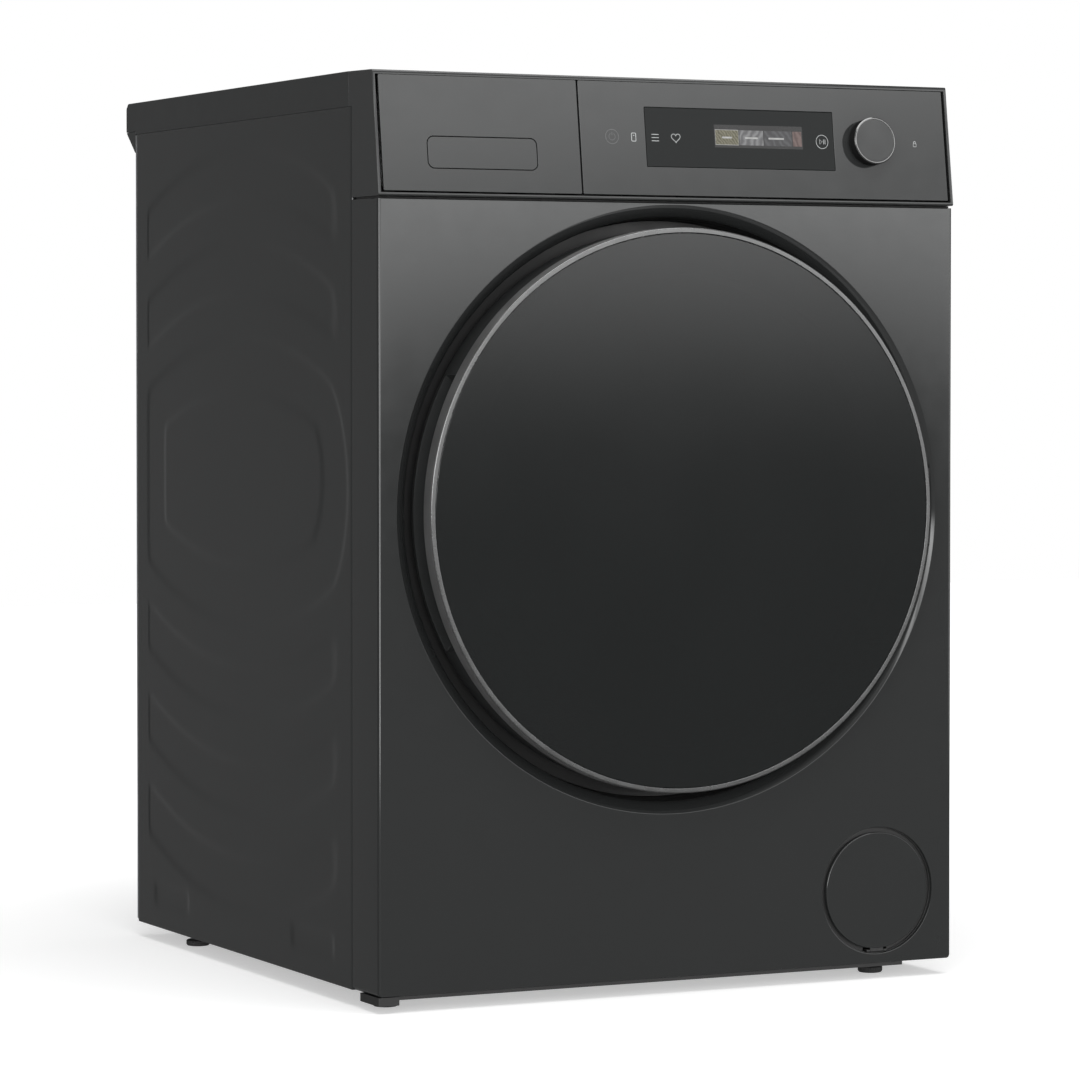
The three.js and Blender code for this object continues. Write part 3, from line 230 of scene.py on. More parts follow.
def finish(name, colour, rough, metal=0.0, drift=0.08, grain=900, press=0.02,
           gloss_drift=0.05, wear_and_edge_highlight=0.25, specular=0.5, coat=0.0, coat_rough=0.1, centre=None):
    """A painted, moulded or metal finish. press is the grain's depth in millimetres."""
    made = bpy.data.materials.new(name)
    made.use_nodes = True
    tree = made.node_tree
    shader = tree.nodes["Principled BSDF"]
    shader.inputs["Metallic"].default_value = metal
    shader.inputs["Specular IOR Level"].default_value = specular
    shader.inputs["Coat Weight"].default_value = coat
    shader.inputs["Coat Roughness"].default_value = coat_rough
    where = add(tree, "ShaderNodeTexCoord").outputs["Object"]
    if centre is not None:  # grain that runs round an axis along y
        away = add(tree, "ShaderNodeVectorMath", operation="SUBTRACT")
        away.inputs[1].default_value = (centre[0] * MM, 0, centre[1] * MM)
        link(tree, where, away.inputs[0])
        flat = add(tree, "ShaderNodeVectorMath", operation="MULTIPLY")
        flat.inputs[1].default_value = (1, 0, 1)
        link(tree, away.outputs[0], flat.inputs[0])
        radius = add(tree, "ShaderNodeVectorMath", operation="LENGTH")
        link(tree, flat.outputs[0], radius.inputs[0])
        along = add(tree, "ShaderNodeSeparateXYZ")
        link(tree, where, along.inputs[0])
        packed = add(tree, "ShaderNodeCombineXYZ")
        link(tree, radius.outputs["Value"], packed.inputs[0])
        link(tree, along.outputs["Y"], packed.inputs[1])
        grain_at = packed.outputs[0]
    else:
        grain_at = where
    cloud = add(tree, "ShaderNodeTexNoise", Scale=7.0, Detail=3.0)
    link(tree, where, cloud.inputs["Vector"])
    smear = add(tree, "ShaderNodeTexNoise", Scale=46.0, Detail=4.0)
    link(tree, where, smear.inputs["Vector"])
    fine = add(tree, "ShaderNodeTexNoise", Scale=float(grain), Detail=2.0)
    link(tree, grain_at, fine.inputs["Vector"])
    tint = add(tree, "ShaderNodeMix", data_type="RGBA")
    tint.inputs["A"].default_value = rgba(colour, 1 - drift)
    tint.inputs["B"].default_value = rgba(colour, 1 + drift)
    link(tree, cloud.outputs[0], tint.inputs["Factor"])
    colour_out = tint.outputs["Result"]
    # Edges get a lighter base colour: a painted edge highlight, with some rubbed wear.
    if wear_and_edge_highlight > 0:
        rounded = add(tree, "ShaderNodeBevel", samples=3, Radius=0.0012)
        plain = add(tree, "ShaderNodeNewGeometry")
        bend = add(tree, "ShaderNodeVectorMath", operation="DOT_PRODUCT")
        link(tree, rounded.outputs[0], bend.inputs[0])
        link(tree, plain.outputs["Normal"], bend.inputs[1])
        edge = add(tree, "ShaderNodeMapRange")
        edge.inputs["From Min"].default_value = 0.999
        edge.inputs["From Max"].default_value = 0.90
        edge.inputs["To Max"].default_value = wear_and_edge_highlight
        link(tree, bend.outputs["Value"], edge.inputs["Value"])
        rubbed_and_lit_edge = add(tree, "ShaderNodeMix", data_type="RGBA")
        rubbed_and_lit_edge.inputs["B"].default_value = rgba(colour, 1.9)
        link(tree, edge.outputs[0], rubbed_and_lit_edge.inputs["Factor"])
        link(tree, colour_out, rubbed_and_lit_edge.inputs["A"])
        colour_out = rubbed_and_lit_edge.outputs["Result"]
    link(tree, colour_out, shader.inputs["Base Color"])
    gloss = add(tree, "ShaderNodeMapRange")
    gloss.inputs["From Min"].default_value = 0.3
    gloss.inputs["From Max"].default_value = 0.7
    gloss.inputs["To Min"].default_value = max(0.02, rough - gloss_drift)
    gloss.inputs["To Max"].default_value = min(1.0, rough + gloss_drift)
    link(tree, smear.outputs[0], gloss.inputs["Value"])
    link(tree, gloss.outputs[0], shader.inputs["Roughness"])
    bump = add(tree, "ShaderNodeBump", Distance=press * MM, Strength=1.0)
    link(tree, fine.outputs[0], bump.inputs["Height"])
    link(tree, bump.outputs[0], shader.inputs["Normal"])
    return made


# %% The finishes of this machine
graphite_paint = finish("graphite_paint", (0.021, 0.022, 0.022), 0.085, metal=0.3, specular=0.62,
                        grain=420, press=0.006, drift=0.04, gloss_drift=0.02)
fascia_plastic = finish("fascia_plastic", (0.024, 0.025, 0.025), 0.07, metal=0.2, specular=0.5,
                        grain=1400, press=0.001, drift=0.04, gloss_drift=0.02)
worktop_plastic = finish("worktop_plastic", (0.018, 0.019, 0.019), 0.36, metal=0.1,
                         grain=1100, press=0.006, gloss_drift=0.015)
black_plastic = finish("black_plastic", (0.012, 0.012, 0.012), 0.5, grain=1300, press=0.03)
door_plastic = finish("door_plastic", (0.018, 0.019, 0.019), 0.42, grain=1200, press=0.02)
grey_plastic = finish("grey_plastic", (0.12, 0.125, 0.13), 0.5, grain=1100, press=0.03)
pale_plastic = finish("pale_plastic", (0.5, 0.51, 0.51), 0.45, grain=900, press=0.02, wear_and_edge_highlight=0.1)
zinc_sheet = finish("zinc_sheet", (0.42, 0.43, 0.44), 0.42, metal=0.9, grain=160, press=0.01,
                    drift=0.16, gloss_drift=0.12, wear_and_edge_highlight=0.1)
drum_steel = finish("drum_steel", (0.42, 0.42, 0.42), 0.3, metal=1.0, grain=2200, press=0.002,
                    centre=(0, DOOR_Z), wear_and_edge_highlight=0.1, drift=0.03, gloss_drift=0.02)
ring_metal = finish("ring_metal", (0.13, 0.131, 0.131), 0.26, metal=0.9, grain=2600, press=0.004,
                    centre=(0, DOOR_Z), drift=0.05, wear_and_edge_highlight=0.5)
# A brighter copy of the ring's metal for its outer side wall: painted light, so the side reads as lit.
ring_side_painted_light = finish("ring_side_painted_light", (0.42, 0.42, 0.42), 0.4, metal=0.9, grain=2600, press=0.004,
                         centre=(0, DOOR_Z), drift=0.05, wear_and_edge_highlight=0.2)
bright_steel = finish("bright_steel", (0.55, 0.55, 0.54), 0.3, metal=1.0, grain=900, press=0.006)
fin_metal = finish("fin_metal", (0.6, 0.6, 0.6), 0.35, metal=1.0, grain=600, press=0.01)
copper_tube = finish("copper_tube", (0.6, 0.26, 0.13), 0.32, metal=1.0, grain=300, press=0.01)
soft_rubber = finish("soft_rubber", (0.016, 0.016, 0.016), 0.72, grain=1500, press=0.04, wear_and_edge_highlight=0.15)
grey_felt = finish("grey_felt", (0.17, 0.165, 0.15), 0.95, grain=2400, press=0.15, wear_and_edge_highlight=0)
board_green = finish("board_green", (0.02, 0.11, 0.05), 0.4, grain=500, press=0.01, coat=0.5)
print("finishes:", len(bpy.data.materials))

# %% [markdown]
# Glass needs another recipe. The door's outer pane is smoked so deep that it looks black
# from outside: most of what you see is its polished face, and only a little of the drum.
# A see-through layer and a polished black layer are mixed to give just that.

# %% Smoked and clear glass
def pane(name, body_colour, body_share, through, rough):
    """Glass: body_share of a polished layer over a see-through one of colour through."""
    made = bpy.data.materials.new(name)
    made.use_nodes = True
    tree = made.node_tree
    shader = tree.nodes["Principled BSDF"]
    where = add(tree, "ShaderNodeTexCoord").outputs["Object"]
    film = add(tree, "ShaderNodeTexNoise", Scale=9.0, Detail=4.0)
    link(tree, where, film.inputs["Vector"])
    tint = add(tree, "ShaderNodeMix", data_type="RGBA")
    tint.inputs["A"].default_value = rgba(body_colour, 0.92)
    tint.inputs["B"].default_value = rgba(body_colour, 1.08)
    link(tree, film.outputs[0], tint.inputs["Factor"])
    link(tree, tint.outputs["Result"], shader.inputs["Base Color"])
    gloss = add(tree, "ShaderNodeMapRange")
    gloss.inputs["To Min"].default_value = rough * 0.8
    gloss.inputs["To Max"].default_value = rough * 1.2
    link(tree, film.outputs[0], gloss.inputs["Value"])
    link(tree, gloss.outputs[0], shader.inputs["Roughness"])
    clear = add(tree, "ShaderNodeBsdfTransparent", Color=rgba(through))
    mixed = add(tree, "ShaderNodeMixShader", Fac=body_share)
    link(tree, clear.outputs[0], mixed.inputs[1])
    link(tree, shader.outputs[0], mixed.inputs[2])
    link(tree, mixed.outputs[0], tree.nodes["Material Output"].inputs["Surface"])
    return made


smoked_glass = pane("smoked_glass", (0.008, 0.009, 0.009), 0.72, (0.5, 0.52, 0.52), 0.09)
bowl_glass = pane("bowl_glass", (0.03, 0.032, 0.032), 0.12, (0.86, 0.88, 0.88), 0.05)
screen_glass = finish("screen_glass", (0.012, 0.013, 0.013), 0.16, specular=0.1, grain=300, press=0.002,
                      drift=0.05, gloss_drift=0.02, wear_and_edge_highlight=0.1)
print("glass ready")

# %% [markdown]
# ## Building tools
# Two ways of making a shell cover most of a dryer: a loft, which joins a row of outlines,
# and a turning, which is a loft round an axis. Corners are rounded in the outline itself,
# so the edge that catches the light is real geometry.

# %% Outlines and lofts
def fillet(points, radius=0.0, steps=4):
    """Rounds a closed outline's corners. A point may carry its own radius as a third number."""
    out = []
    count = len(points)
    for i, point in enumerate(points):
        want = point[2] if len(point) > 2 else radius
        here = Vector(point[:2])
        back = Vector(points[i - 1][:2]) - here
        ahead = Vector(points[(i + 1) % count][:2]) - here
        if want <= 0 or back.length < 1e-6 or ahead.length < 1e-6:
            out.append(here)
            continue
        angle = back.angle(ahead)
        if angle > math.pi - 0.02:
            out.append(here)
            continue
        run = min(want / math.tan(angle / 2), 0.48 * back.length, 0.48 * ahead.length)
        true = run * math.tan(angle / 2)
        back.normalize()
        ahead.normalize()
        centre = here + (back + ahead).normalized() * (true / math.sin(angle / 2))
        first = here + back * run - centre
        last = here + ahead * run - centre
        for k in range(steps + 1):
            t = k / steps
            out.append(centre + (first * (1 - t) + last * t).normalized() * true)
    return out


def loft(rings, caps=True, loop=False):
    """A mesh through a row of closed outlines with the same number of points."""
    bm = bmesh.new()
    rows = [[bm.verts.new(p) for p in ring] for ring in rings]
    count = len(rows[0])
    pairs = list(zip(rows, rows[1:])) + ([(rows[-1], rows[0])] if loop else [])
    for one, two in pairs:
        for i in range(count):
            j = (i + 1) % count
            bm.faces.new((one[i], one[j], two[j], two[i]))
    if caps and not loop:
        bm.faces.new(reversed(rows[0]))
        bm.faces.new(rows[-1])
    return bm


def spun(profile, place, steps, flute=None):
    """A closed profile of (radius, along) swept round; flute(i, angle, r, along) adds to a radius."""
    rings = []
    for k in range(steps):
        angle = 2 * math.pi * k / steps
        ring = []
        for i, (r, along) in enumerate(profile):
            if flute is not None:
                r = r + flute(i, angle, r, along)
            ring.append(place(r * math.cos(angle), r * math.sin(angle), along))
        rings.append(ring)
    bm = loft(rings, loop=True)
    bmesh.ops.remove_doubles(bm, verts=bm.verts, dist=1e-4)
    return bm


def flutes(count, deep, points):
    """Grooves round a turning, at the given points of its profile."""
    return lambda i, angle, r, along: -deep * (0.5 + 0.5 * math.cos(count * angle)) if i in points else 0.0


def turned(profile, x=0.0, z=DOOR_Z, steps=160, flute=None):
    """A profile of (radius, y) turned about an axis along y through (x, z)."""
    return spun(profile, lambda a, b, y: Vector((x + a, y, z + b)), steps, flute)


def upright(profile, x, y, steps=64, flute=None):
    """A profile of (radius, z) turned about an upright axis through (x, y)."""
    return spun(profile, lambda a, b, z: Vector((x + a, y + b, z)), steps, flute)


def block(low, high, round_by=0.0, steps=3):
    """A box between two corners with rounded edges."""
    bm = bmesh.new()
    bmesh.ops.create_cube(bm, size=1)
    low, high = Vector(low), Vector(high)
    for v in bm.verts:
        v.co = Vector([low[i] + (v.co[i] + 0.5) * (high[i] - low[i]) for i in range(3)])
    if round_by > 0:
        bmesh.ops.bevel(bm, geom=bm.edges[:], offset=round_by, segments=steps,
                        profile=0.5, affect="EDGES", clamp_overlap=True)
    return bm


def plate(outline, depth, place, round_by=0.0, steps=3):
    """An outline pushed from depth[0] to depth[1]; place(a, b, depth) says where a point goes."""
    rings = [[place(a, b, d) for a, b in outline] for d in depth]
    bm = loft(rings)
    if round_by > 0:
        sharp = [e for e in bm.edges if len(e.link_faces) == 2 and e.calc_face_angle(0) > math.radians(50)]
        bmesh.ops.bevel(bm, geom=sharp, offset=round_by, segments=steps, profile=0.5,
                        affect="EDGES", clamp_overlap=True)
    return bm


def backwards(x, z, y):
    return Vector((x, y, z))


def across(y, z, x):
    return Vector((x, y, z))


def merge(*parts):
    """Several loose shells as one mesh."""
    whole = parts[0]
    for part in parts[1:]:
        spare = bpy.data.meshes.new("spare")
        part.to_mesh(spare)
        part.free()
        whole.from_mesh(spare)
        bpy.data.meshes.remove(spare)
    return whole


def carve(bm, *cutters):
    """Cuts shells out of a shell with exact booleans."""
    def as_object(part):
        bmesh.ops.recalc_face_normals(part, faces=part.faces)
        mesh = bpy.data.meshes.new("carving")
        part.to_mesh(mesh)
        part.free()
        held = bpy.data.objects.new("carving", mesh)
        scene.collection.objects.link(held)
        return held
    blank = as_object(bm)
    tools = [as_object(c) for c in cutters]
    for tool in tools:
        step = blank.modifiers.new("cut", "BOOLEAN")
        step.operation = "DIFFERENCE"
        step.solver = "EXACT"
        step.object = tool
    graph = bpy.context.evaluated_depsgraph_get()
    result = bmesh.new()
    result.from_mesh(blank.evaluated_get(graph).to_mesh())
    for held in [blank, *tools]:
        mesh = held.data
        bpy.data.objects.remove(held)
        bpy.data.meshes.remove(mesh)
    return result


def show(name, bm, material, body, stands_for=(), sharp=38, bevel=0.0, weighted=True,
         fixed_normals=False):
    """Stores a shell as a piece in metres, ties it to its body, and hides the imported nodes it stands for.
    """
    if not fixed_normals:
        bmesh.ops.recalc_face_normals(bm, faces=bm.faces)
    mesh = bpy.data.meshes.new(name)
    bmesh.ops.scale(bm, vec=(MM, MM, MM), verts=bm.verts)
    bm.to_mesh(mesh)
    bm.free()
    mesh.materials.append(material)
    mesh.shade_smooth()
    mesh.set_sharp_from_angle(angle=math.radians(sharp))
    piece = bpy.data.objects.new(name, mesh)
    scene.collection.objects.link(piece)
    if bevel > 0:
        rounding = piece.modifiers.new("rounding", "BEVEL")
        rounding.width = bevel * MM
        rounding.segments = 3
        rounding.limit_method = "ANGLE"
        rounding.angle_limit = math.radians(40)
        rounding.harden_normals = True
        rounding.miter_outer = "MITER_ARC"
    elif weighted:
        even = piece.modifiers.new("even_normals", "WEIGHTED_NORMAL")
        even.keep_sharp = True
    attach(piece, body)
    if stands_for:
        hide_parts(*stands_for)
    return piece


def report(*pieces):
    for piece in pieces:
        print(piece.name, len(piece.data.polygons), "faces")

# %% [markdown]
# ## Side panels
# Thin sheet drums like a tin lid unless it is stiffened, so each side is pressed with
# bowed channels that sweep round a lens in the middle. The relief is only about a millimetre
# deep. The sheet is lofted row by row from a profile that folds in at the front and back,
# and every point of it is pushed in by as much as it lies inside a channel.

# %% The pressed pattern
BOW_R = 600.0
BOW_Y = FACE + 328
CHANNEL_FRONT = FACE + 96
CHANNEL_BACK = FACE + 572
PRESS_DEPTH = 1.0
PRESS_SLOPE = 7.0
UPPER = [(790, 742), (700, 652)]
LOWER = [(245, 292), (152, 200), (58, 108)]


def over(apex, y, z):
    """Distance past an arc that bows upwards to apex; negative below it."""
    return math.hypot(y - BOW_Y, z - (apex - BOW_R)) - BOW_R


def under(apex, y, z):
    """Distance past an arc that bows downwards to apex; negative above it."""
    return math.hypot(y - BOW_Y, z - (apex + BOW_R)) - BOW_R


def blend_max(values, soft=9.0):
    """The largest value, raised a little where several are close, so that corners come out round."""
    top = max(values)
    return top + soft * math.log(sum(math.exp((v - top) / soft) for v in values)) * 0.5


def lens(y, z, top, bottom, back, nose_y, nose_z, nose_r, front):
    """Distance outside a lens between two bows, cut off at the back, with a round nose."""
    bows = max(over(top, y, z), under(bottom, y, z))
    nose = math.hypot(y - nose_y, z - nose_z) - nose_r
    return blend_max([bows, y - back, min(front - y, nose)], 7.0)


def relief(y, z):
    """How far the sheet is pushed in at a point, in millimetres."""
    ends = [(CHANNEL_FRONT - y) * 0.4, (y - CHANNEL_BACK) * 3]
    best = 1e9
    for top, bottom in UPPER:
        best = min(best, blend_max([over(top, y, z), -over(bottom, y, z), *ends]))
    for bottom, top in LOWER:
        best = min(best, blend_max([under(bottom, y, z), -under(top, y, z), *ends]))
    outer = lens(y, z, 610, 333, CHANNEL_BACK, FACE + 218, 470, 149, FACE + 112)
    inner = lens(y, z, 557, 391, CHANNEL_BACK - 46, FACE + 223, 479, 96, FACE + 168)
    best = min(best, blend_max([outer, -inner], 4.0))
    for y0, y1 in ((FACE + 102, FACE + 200), (FACE + 464, FACE + 554)):
        best = min(best, blend_max([y0 - y, y - y1, 38 - z, z - 60], 4.0))
    t = min(1.0, max(0.0, 0.5 - best / PRESS_SLOPE))
    return PRESS_DEPTH * t * t * (3 - 2 * t)


print("pressed", round(relief(BOW_Y, 766), 2), "mm in the top channel")

# %% Side panels
def side_panel(side, name):
    low, high = box(name)
    lip = 14.0
    thick = 0.9
    fold = 1.6
    front, back = low.y, high.y
    rows = 244
    start, end = front + fold, back - fold
    tight = (CHANNEL_BACK - 4, CHANNEL_BACK + 3)  # the channels end in a short steep wall
    stations = [start + (tight[0] - start) * k / 154 for k in range(154)]
    stations += [tight[0] + 0.5 * k for k in range(15)]
    stations += [tight[1] + (end - tight[1]) * k / 8 for k in range(1, 9)]
    turn = [math.radians(a) for a in (0, 30, 60)]
    rings = []
    for i in range(rows + 1):
        z = low.z + (high.z - low.z) * i / rows
        ring = [(HALF - lip, front)]
        ring += [(HALF - fold + fold * math.sin(a), front + fold - fold * math.cos(a)) for a in turn]
        ring += [(HALF - relief(y, z), y) for y in stations]
        ring += [(HALF - fold + fold * math.cos(a), back - fold + fold * math.sin(a))
                 for a in (math.radians(30), math.radians(60), math.radians(90))]
        ring += [(HALF - lip, back), (HALF - lip, back - thick), (HALF - 3.6, back - thick),
                 (HALF - 3.6, front + thick), (HALF - lip, front + thick)]
        rings.append([Vector((side * x, y, z)) for x, y in ring])
    return show(name.replace("panel", "skin"), loft(rings), graphite_paint, "cabinet",
                [name], sharp=50, weighted=False)


report(side_panel(-1, "left_side_panel"), side_panel(1, "right_side_panel"))

# %% [markdown]
# ## Front panel
# One bent sheet. Its flat is filled between three outlines: the sheet's edge, the door
# opening and the service hatch. Round the door the sheet is drawn back into a cove,
# so the light fades softly into the dark recess instead of stopping at a raw edge.

# %% Front panel
RIM_STEPS = 192
HATCH = box("hatch_cover")
HATCH_X = (HATCH[0].x + HATCH[1].x) / 2
HATCH_R = (HATCH[1].x - HATCH[0].x) / 2
HATCH_Z = HATCH[1].z - HATCH_R
HATCH_HOLE = HATCH_R + 4.9
recess_low, recess_high = box("door_surround")
RECESS_R = recess_high.x + 8.2
COVE = 10.0
COVE_DEEP = 8.5


def circle(radius, x, z, y, steps):
    return [Vector((x + radius * math.cos(2 * math.pi * k / steps), y,
                    z + radius * math.sin(2 * math.pi * k / steps))) for k in range(steps)]


def front_panel():
    bm = bmesh.new()
    side_r, edge_r = 3.0, 0.9
    low, high = panel_low.z, panel_high.z

    def ring(points):
        return [bm.verts.new(p) for p in points]

    def bridge(one, two):
        for i in range(len(one)):
            j = (i + 1) % len(one)
            bm.faces.new((one[i], one[j], two[j], two[i]))

    def frame_ring(t, y):
        dx, dz = side_r * math.sin(t), edge_r * math.sin(t)
        x = HALF - side_r + dx
        z0, z1 = low + edge_r - dz, high - edge_r + dz
        corner = 1.0 + dx
        return ring([Vector((px, y, pz)) for px, pz in
                     fillet([(-x, z0, corner), (x, z0, corner), (x, z1, 0), (-x, z1, 0)], steps=4)])

    outer = [frame_ring(t, FACE + side_r * (1 - math.cos(t)))
             for t in (math.radians(a) for a in (0, 18, 36, 54, 72, 90))]
    for one, two in zip(outer, outer[1:]):
        bridge(one, two)
    last = outer[-1]
    back = panel_high.y
    deep = [bm.verts.new((v.co.x, back, v.co.z)) for v in last]
    # The sides and their lower corners fold right back. The bottom stays open, and the top has a lip.
    for i in [*range(5, 10), 11, *range(0, 4)]:
        j = (i + 1) % 12
        bm.faces.new((last[i], last[j], deep[j], deep[i]))
    lip = [bm.verts.new((v.co.x, FACE + 14, v.co.z)) for v in last[10:]]
    bm.faces.new((last[10], last[11], lip[1], lip[0]))
    bmesh.ops.delete(bm, geom=[v for v in bm.verts if not v.link_faces], context="VERTS")
    cove = [(RECESS_R + 1.2, 0)]
    cove += [(RECESS_R + 1.2 - 1.4 * math.sin(a), 1.4 - 1.4 * math.cos(a))
             for a in (math.radians(d) for d in (12, 24, 35))]
    for k in range(1, 7):
        t = k / 6
        cove.append((RECESS_R + 0.3 - (COVE + 0.3) * t, 0.35 + (COVE_DEEP - 0.35) * t ** 1.35))
    door = [ring(circle(r, 0, DOOR_Z, FACE + y, RIM_STEPS)) for r, y in cove]
    hatch_profile = [(HATCH_HOLE + 0.8, 0), (HATCH_HOLE + 0.3, 0.15), (HATCH_HOLE, 0.6), (HATCH_HOLE, 5)]
    hatch = [ring(circle(r, HATCH_X, HATCH_Z, FACE + y, 96)) for r, y in hatch_profile]
    for rings in (door, hatch):
        for one, two in zip(rings, rings[1:]):
            bridge(one, two)
    edges = []
    for rings in (outer[0], door[0], hatch[0]):
        for i in range(len(rings)):
            found = bm.edges.get((rings[i], rings[(i + 1) % len(rings)]))
            edges.append(found)
    bmesh.ops.triangle_fill(bm, edges=edges, use_beauty=True, normal=(0, -1, 0))
    bmesh.ops.recalc_face_normals(bm, faces=bm.faces)
    flat = max(bm.faces, key=lambda f: f.calc_area())
    if flat.normal.y > 0:
        bmesh.ops.reverse_faces(bm, faces=bm.faces)
    return bm


front_skin = show("front_skin", front_panel(), graphite_paint, "cabinet",
                  ["front_panel"], fixed_normals=True, weighted=False)
thickness = front_skin.modifiers.new("sheet", "SOLIDIFY")
thickness.thickness = 0.7 * MM
thickness.offset = -1
front_skin.modifiers.new("even_normals", "WEIGHTED_NORMAL").keep_sharp = True
report(front_skin)

# %% [markdown]
# ## The recess behind the door
# A black moulding lines the hole behind the cove: a steep wall, and a floor that carries
# the seal's landing and the lock's slot.

# %% Recess
wall_r = recess_high.x - 2
recess_wall = show("recess_wall", turned(fillet([
    (wall_r + 0.1, recess_low.y), (wall_r + 2, recess_low.y + 0.1), (wall_r - 0.3, recess_high.y),
    (wall_r - 2.3, recess_high.y), (wall_r - 1.2, recess_low.y + 12), (wall_r - 0.6, recess_low.y + 11),
], 0.4, 2), steps=RIM_STEPS), black_plastic, "cabinet", ["door_surround"])
floor_low, floor_high = box("recess_floor")
THROAT_R = 215.0
base_r = floor_high.x
recess_base = turned(fillet([
    (THROAT_R + 1, floor_low.y), (THROAT_R + 20, floor_low.y), (THROAT_R + 21, floor_low.y + 0.8),
    (THROAT_R + 26, floor_low.y + 0.8), (THROAT_R + 27, floor_low.y), (base_r, floor_low.y),
    (base_r, floor_high.y), (THROAT_R + 1, floor_high.y),
], 0.3, 2), steps=RIM_STEPS)
latch = box("door_latch_hook")
latch_x = (latch[0].x + latch[1].x) / 2
recess_base = carve(recess_base, block((latch_x - 8, floor_low.y - 2, DOOR_Z - 9),
                                       (latch_x + 8, floor_high.y + 2, DOOR_Z + 9), 1.5))
recess_base = show("recess_base", recess_base, black_plastic, "cabinet", ["recess_floor"])
report(recess_wall, recess_base)

# %% [markdown]
# ## Door
# From the front: a thin satin ring, a smoked pane flush with it, and behind them a black
# moulded ring with a pocket for the fingertips on the side that opens.

# %% Ring and pane
lip_r = RING_R - 4.5
door_ring = show("door_ring", turned(fillet([
    (lip_r, ring_low.y, 0.3), (RING_R, ring_low.y, 1.3), (RING_R, ring_high.y, 0.4),
    (RING_R - 1.8, ring_high.y, 0.4), (RING_R - 1.8, ring_low.y + 2.2, 0.3), (lip_r, ring_low.y + 2.2, 0.3),
], steps=5), steps=256), ring_metal, "door", ["door_trim_ring"], sharp=60)
# The ring's side faces take the brighter copy: painted light on the side wall.
door_ring.data.materials.append(ring_side_painted_light)
for face in door_ring.data.polygons:
    reach = math.hypot(face.center.x, face.center.z - DOOR_Z * MM)
    if abs(face.normal.y) < 0.35 and reach > (RING_R - 0.6) * MM:
        face.material_index = 1
glass_low, glass_high = box("door_glass")
glass_r = (glass_high.x - glass_low.x) / 2
door_pane = show("door_pane", turned(fillet([
    (0, glass_low.y), (glass_r, glass_low.y, 0.8), (glass_r, glass_high.y, 0.4), (0, glass_high.y),
], steps=3), steps=256), smoked_glass, "door", ["door_glass"])
report(door_ring, door_pane)

# %% Door body with its finger pocket
body_low, body_high = box("door_body")
BODY_R = body_high.x
body_front, body_back = body_low.y, body_high.y
POCKET_SPREAD = math.radians(29)
POCKET_DEEP = 20.0


def pocket():
    """The space for the fingertips: a bent slot with rounded ends, cut from outside."""
    stations = []
    end = math.radians(4.5)
    for k in range(61):
        off = -POCKET_SPREAD + 2 * POCKET_SPREAD * k / 60
        share = min(1.0, (POCKET_SPREAD - abs(off)) / end)
        deep = 2.0 + (POCKET_DEEP - 2.0) * math.sqrt(1 - (1 - share) ** 2)
        r0, r1 = BODY_R - deep, BODY_R + 3
        stations.append([Vector((-r * math.cos(off), y, DOOR_Z + r * math.sin(off)))
                         for r, y in fillet([(r0, pocket_y[0], 1.9), (r1, pocket_y[0], 0.1),
                                             (r1, pocket_y[1], 0.1), (r0, pocket_y[1], 1.9)], steps=4)])
    return loft(stations)


inner_r = box("door_bowl")[1].x + 1
pocket_y = (FACE - 7.5, FACE + 15)
body = turned(fillet([
    (inner_r, body_front, 0.3), (BODY_R, body_front, 0.6), (BODY_R, body_back, 0.8),
    (BODY_R - 3, body_back, 0.2), (BODY_R - 3, body_back - 1, 0.1), (inner_r + 3, body_back - 1, 0.1),
    (inner_r + 3, body_back, 0.2), (inner_r, body_back, 0.3)], steps=3), steps=256)
door_body = show("door_shell", carve(body, pocket()), door_plastic, "door",
                 ["door_body"], sharp=40, bevel=0.5)
print("pocket spans", round(math.degrees(2 * POCKET_SPREAD)), "degrees")
report(door_body)

# %% Inner frame, bowl and seal
inner_low, inner_high = box("door_inner_frame")
OPEN_R = THROAT_R - 9
frame_r = inner_high.x
inner_frame = show("door_inner_ring", turned(fillet([
    (OPEN_R, inner_low.y, 0.6), (frame_r, inner_low.y, 0.4), (frame_r, inner_high.y - 1.6, 1.2),
    (frame_r - 3, inner_high.y, 1.0), (OPEN_R + 18, inner_high.y, 0.5), (OPEN_R + 17, inner_high.y - 1, 0.5),
    (OPEN_R + 3, inner_high.y - 1, 0.5), (OPEN_R + 2, inner_high.y, 0.8), (OPEN_R, inner_high.y, 0.8),
], steps=3), steps=RIM_STEPS), grey_plastic, "door", ["door_inner_frame"])
bowl_high = box("door_bowl")[1]
rim = OPEN_R - 1
deep_y = bowl_high.y
seat = body_back
door_bowl = show("door_bowl_glass", turned(fillet([
    (0, deep_y), (rim - 50, deep_y, 30), (rim - 16, deep_y - 20, 26), (rim, seat + 5, 3),
    (rim, seat, 0.3), (rim + 13, seat, 0.8), (rim + 13, seat - 4.5, 0.8), (rim - 4, seat - 4.5, 2),
    (rim - 20, deep_y - 21, 24), (rim - 52, deep_y - 4, 28), (0, deep_y - 4),
], steps=8), steps=RIM_STEPS), bowl_glass, "door", ["door_bowl"], sharp=60)
seal_low, seal_high = box("door_seal")
seal_in = THROAT_R + 7
door_seal = show("door_gasket", turned(fillet([
    (seal_in, seal_low.y, 0.5), (seal_in + 10, seal_low.y, 0.5), (seal_in + 9, seal_low.y + 2, 0.8),
    (seal_in + 8, seal_high.y, 1.2), (seal_in + 5, seal_high.y - 1.2, 0.8), (seal_in + 2, seal_high.y, 1.0),
], steps=4), steps=RIM_STEPS), soft_rubber, "door", ["door_seal"])
report(inner_frame, door_bowl, door_seal)

# %% [markdown]
# ## Fascia
# The control strip leans back by seven and a half degrees. Its parts are drawn flat, as
# they would be on the moulder's drawing, and one function leans them back.

